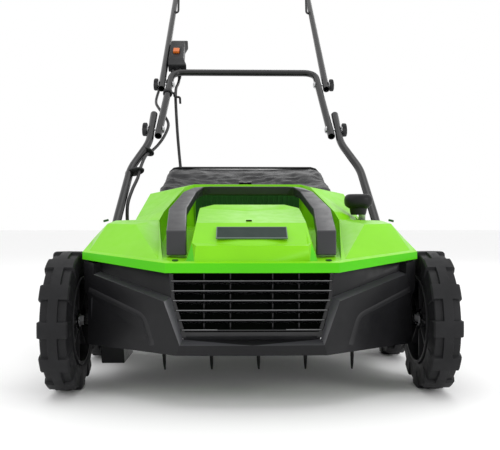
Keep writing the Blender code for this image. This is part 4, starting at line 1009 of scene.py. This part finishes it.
def make_switch_box():
    refined("switch_box", "black", 0.0030, 4, 20)
    refined("lock_button", "orange", 0.0014, 3, 20)
    screws = [placed(block("seam", (-0.1876, 0.5980, -0.0006), (-0.1872, 0.7200, 0.0006)))]
    for along in (0.612, 0.700):
        base = on_handle(-0.1868, along, 0.0)
        steps = [(base.x, 0.0028), (base.x - 0.0012, 0.0028), (base.x - 0.0016, 0.0016)]
        screws.append(disc_x("screw", steps, (base.y, base.z + 0.001), 16))
    piece("switch_box_screws", screws, "case", "handle_upper", angle=40)


def make_hook_and_clips():
    along = 0.4700
    narrowing = (MIDDLE_FOOT_HALF - CROSSBAR_HALF) * (along - MIDDLE_FOOT) / (CROSSBAR - MIDDLE_FOOT)
    x = narrowing - MIDDLE_FOOT_HALF
    profile = [(along - 0.0060, 0.0083), (along - 0.0060, 0.0104), (along - 0.0050, 0.0110),
               (along + 0.0050, 0.0110), (along + 0.0060, 0.0104), (along + 0.0060, 0.0083)]
    rings = [[(x + r * math.cos(a), t, r * math.sin(a)) for t, r in profile] for a in ring_angles(28)]
    collar = placed(lofted("collar", rings, closed=True))
    route = [(x + 0.0092, along, 0), (x + 0.0150, along, 0), (x + 0.0150, along, -0.0110),
             (x + 0.0280, along, -0.0110), (x + 0.0280, along, -0.0280)]
    arm = swept("arm", [on_handle(*p) for p in rounded(route, 0.0045, 6)], 0.0027, 12)
    stand_in("cord_hook", "cord_hook_moulded", [collar, arm], "black", 45)
    clips = [(-0.2330, 0.1480, -0.2112, 0.0060), (-0.2110, 0.2300, -0.1998, -0.0070)]
    for number, (tube_x, spot, cable_x, cable_lift) in enumerate(clips):
        middle = Vector(((tube_x + cable_x) / 2, 0, cable_lift / 2))
        span = Vector((cable_x - tube_x, 0, cable_lift))
        half_long = span.length / 2 + 0.0080
        heading = math.atan2(span.z, span.x)
        rings = []
        for shift, grow in ((-0.0022, 0.0), (-0.0016, 0.0007), (0.0016, 0.0007), (0.0022, 0.0)):
            t = spot + shift
            ring = []
            for a in ring_angles(32):
                u = (half_long + grow) * math.cos(a)
                v = (0.0088 + grow) * math.sin(a)
                ring.append((middle.x + u * math.cos(heading) - v * math.sin(heading), t,
                             middle.z + u * math.sin(heading) + v * math.cos(heading)))
            rings.append(ring)
        clip = placed(lofted("clip", rings))
        piece(f"cable_clip_{number + 1}", clip, "black", "deck", angle=45)


# Bag and flap


def bag_section(y, stations):
    """Half width, lowest and highest point of the bag at y, eased between its stations."""
    for a, b in zip(stations, stations[1:]):
        if y <= b[0]:
            t = max(0.0, (y - a[0]) / (b[0] - a[0]))
            t = t * t * (3 - 2 * t) * 0.5 + t * 0.5
            return [a[k] + (b[k] - a[k]) * t for k in (1, 2, 3)]
    return list(stations[-1][1:])


def bag_ring(y, half, low, high, count, corner=0.020):
    """Evenly spaced (x, z) points of a rounded rectangle, with each point's direction outwards."""
    straight_x, straight_z = 2 * (half - corner), (high - low) - 2 * corner
    arc = math.pi / 2 * corner
    sides = [(half, low + corner, 0, 1, straight_z), (half - corner, high, -1, 0, straight_x),
             (-half, high - corner, 0, -1, straight_z), (corner - half, low, 1, 0, straight_x)]
    total = 2 * (straight_x + straight_z) + 4 * arc
    ring = []
    for k in range(count):
        left = total * k / count
        for number, (x, z, dx, dz, run) in enumerate(sides):
            out = (dz, -dx)
            if left <= run:
                ring.append((Vector((x + dx * left, y, z + dz * left)), Vector((out[0], 0, out[1]))))
                break
            left -= run
            if left <= arc:
                middle = Vector((x + dx * run - out[0] * corner, y, z + dz * run - out[1] * corner))
                turn = left / corner + number * math.pi / 2
                way = Vector((math.cos(turn), 0, math.sin(turn)))
                ring.append((middle + way * corner, way))
                break
            left -= arc
    return ring


def make_bag():
    """Soft bag on a wire frame: it sags between its edges and wrinkles where it is gathered."""
    low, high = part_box("bag_fabric")
    front, back, top, floor = low.y, high.y, high.z, low.z
    stations = [
        (front, 0.157, 0.104, 0.2660), (front + 0.0455, 0.173, 0.088, 0.2860),
        (front + 0.1355, 0.1825, floor, 0.3230), (front + 0.2555, 0.1775, floor, 0.3640),
        (back - 0.022, 0.173, 0.080, top), (back, 0.160, 0.100, 0.3580),
    ]
    length = back - front
    rings = []
    rows, columns = 90, 200
    for i in range(rows + 1):
        share = i / rows
        y = front + length * share
        half, bottom, roof = bag_section(y, stations)
        slack = math.sin(math.pi * min(1.0, share * 1.06)) ** 0.6
        ring = []
        for spot, out in bag_ring(y, half, bottom, roof, columns):
            x, z = spot.x, spot.z
            folds = noise.noise(Vector((x * 30 + y * 24, y * 14 - x * 8, z * 20)))
            creases = 1 - abs(noise.noise(Vector((x * 20 - y * 34 + 4, y * 26 + x * 14, z * 26))))
            sharp = 1 - abs(noise.noise(Vector((x * 46 + y * 20, y * 52 - x * 30 + 7, z * 50))))
            sag = 0.0085 * max(0.0, out.z) * (1 - (x / half) ** 2) + 0.003 * abs(out.x)
            wrinkles = 0.0036 * folds + 0.0050 * (creases - 0.85) + 0.0028 * (sharp - 0.85)
            move = slack * (wrinkles - sag) - 0.0012
            ring.append(spot + out * move)
        rings.append(ring)
    edge = rings[rows]
    middle = sum(p.z for p in edge) / columns
    for shrink, depth in ((0.93, 0.0), (0.80, -0.0015), (0.60, -0.0035), (0.35, -0.0050), (0.12, -0.0055)):
        ring = []
        for p in edge:
            ripple = 0.0016 * noise.noise(Vector((p.x * shrink * 30, 5, p.z * shrink * 30)))
            z = middle + (p.z - middle) * shrink
            ring.append(Vector((p.x * shrink, back + depth + ripple - 0.0016, z)))
        rings.append(ring)
    vertices = [point for ring in rings for point in ring]
    end_cap = tuple((len(rings) - 1) * columns + k for k in range(columns))
    shell = mesh_of("bag_shell", vertices, [end_cap, *strips(len(rings), columns)])
    bag = stand_in("bag_fabric", "bag_shell", shell, "cloth", 70)
    wall = bag.modifiers.new("cloth", "SOLIDIFY")
    wall.thickness = 0.0012
    wall.offset = -1.0
    edges = []
    for share in (0.995, 0.918):
        y = front + length * share
        half, bottom, roof = bag_section(y, stations)
        loop = [spot + out * 0.0004 for spot, out in bag_ring(y, half, bottom, roof, 110)]
        edges.append(lofted("piping", section_rings(loop + loop[:2], 0.0025, 10)))
    piece("bag_piping", edges, "piping", "bag", angle=60)
    return stations


def make_bag_fittings(stations):
    """Buckle and strap on the front of the top, a pull handle behind it and the mouth's frame."""
    refined("bag_frame", "black", 0.0010, 2, 30)
    y = stations[0][0] + 0.1560
    z = bag_section(y, stations)[2] - 0.0068
    slope = Matrix.Rotation(math.radians(21.0), 4, "X")
    boxes = (((-0.0135, -0.0050, -0.001), (-0.0035, 0.0050, 0.005)),
             ((0.0035, -0.0050, -0.001), (0.0135, 0.0050, 0.005)),
             ((-0.0045, -0.0034, 0.000), (0.0045, 0.0034, 0.0036)))
    buckle = joined("bag_buckle", [block("buckle", low, high) for low, high in boxes])
    buckle.transform(Matrix.Translation((0.0, y, z + 0.0038)) @ slope)
    piece("bag_buckle", buckle, "sheath", "bag", bevel=0.0008)
    strap = block("strap", (-0.060, -0.0045, -0.0006), (0.060, 0.0045, 0.0008))
    strap.transform(Matrix.Translation((0.0, y, z + 0.0022)) @ slope)
    piece("bag_strap", strap, "piping", "bag", bevel=0.0004)
    y = stations[-1][0]
    route = [(-0.060, y - 0.003, 0.290), (-0.052, y + 0.003, 0.276), (0.052, y + 0.003, 0.276),
             (0.060, y - 0.003, 0.290)]
    pull = swept("bag_pull", densified(rounded(route, 0.010, 8), 0.008), 0.0036, 12)
    piece("bag_pull", pull, "piping", "bag", angle=50)


make_camera()
MATERIALS = make_materials()
make_cables()
make_stage()
for wheel_side, wheel_sign in (("left", -1), ("right", 1)):
    for wheel_end in ("front", "rear"):
        make_wheel(wheel_side, wheel_end, wheel_sign)
make_axles()
make_cover()
make_housing()
make_grille()
make_name_plate()
make_height_lever()
make_tines()
make_tubes()
make_wing_knobs()
make_grip_and_bail()
make_switch_box()
make_hook_and_clips()
make_bag_fittings(make_bag())
refined("rear_flap", "black", 0.0010)
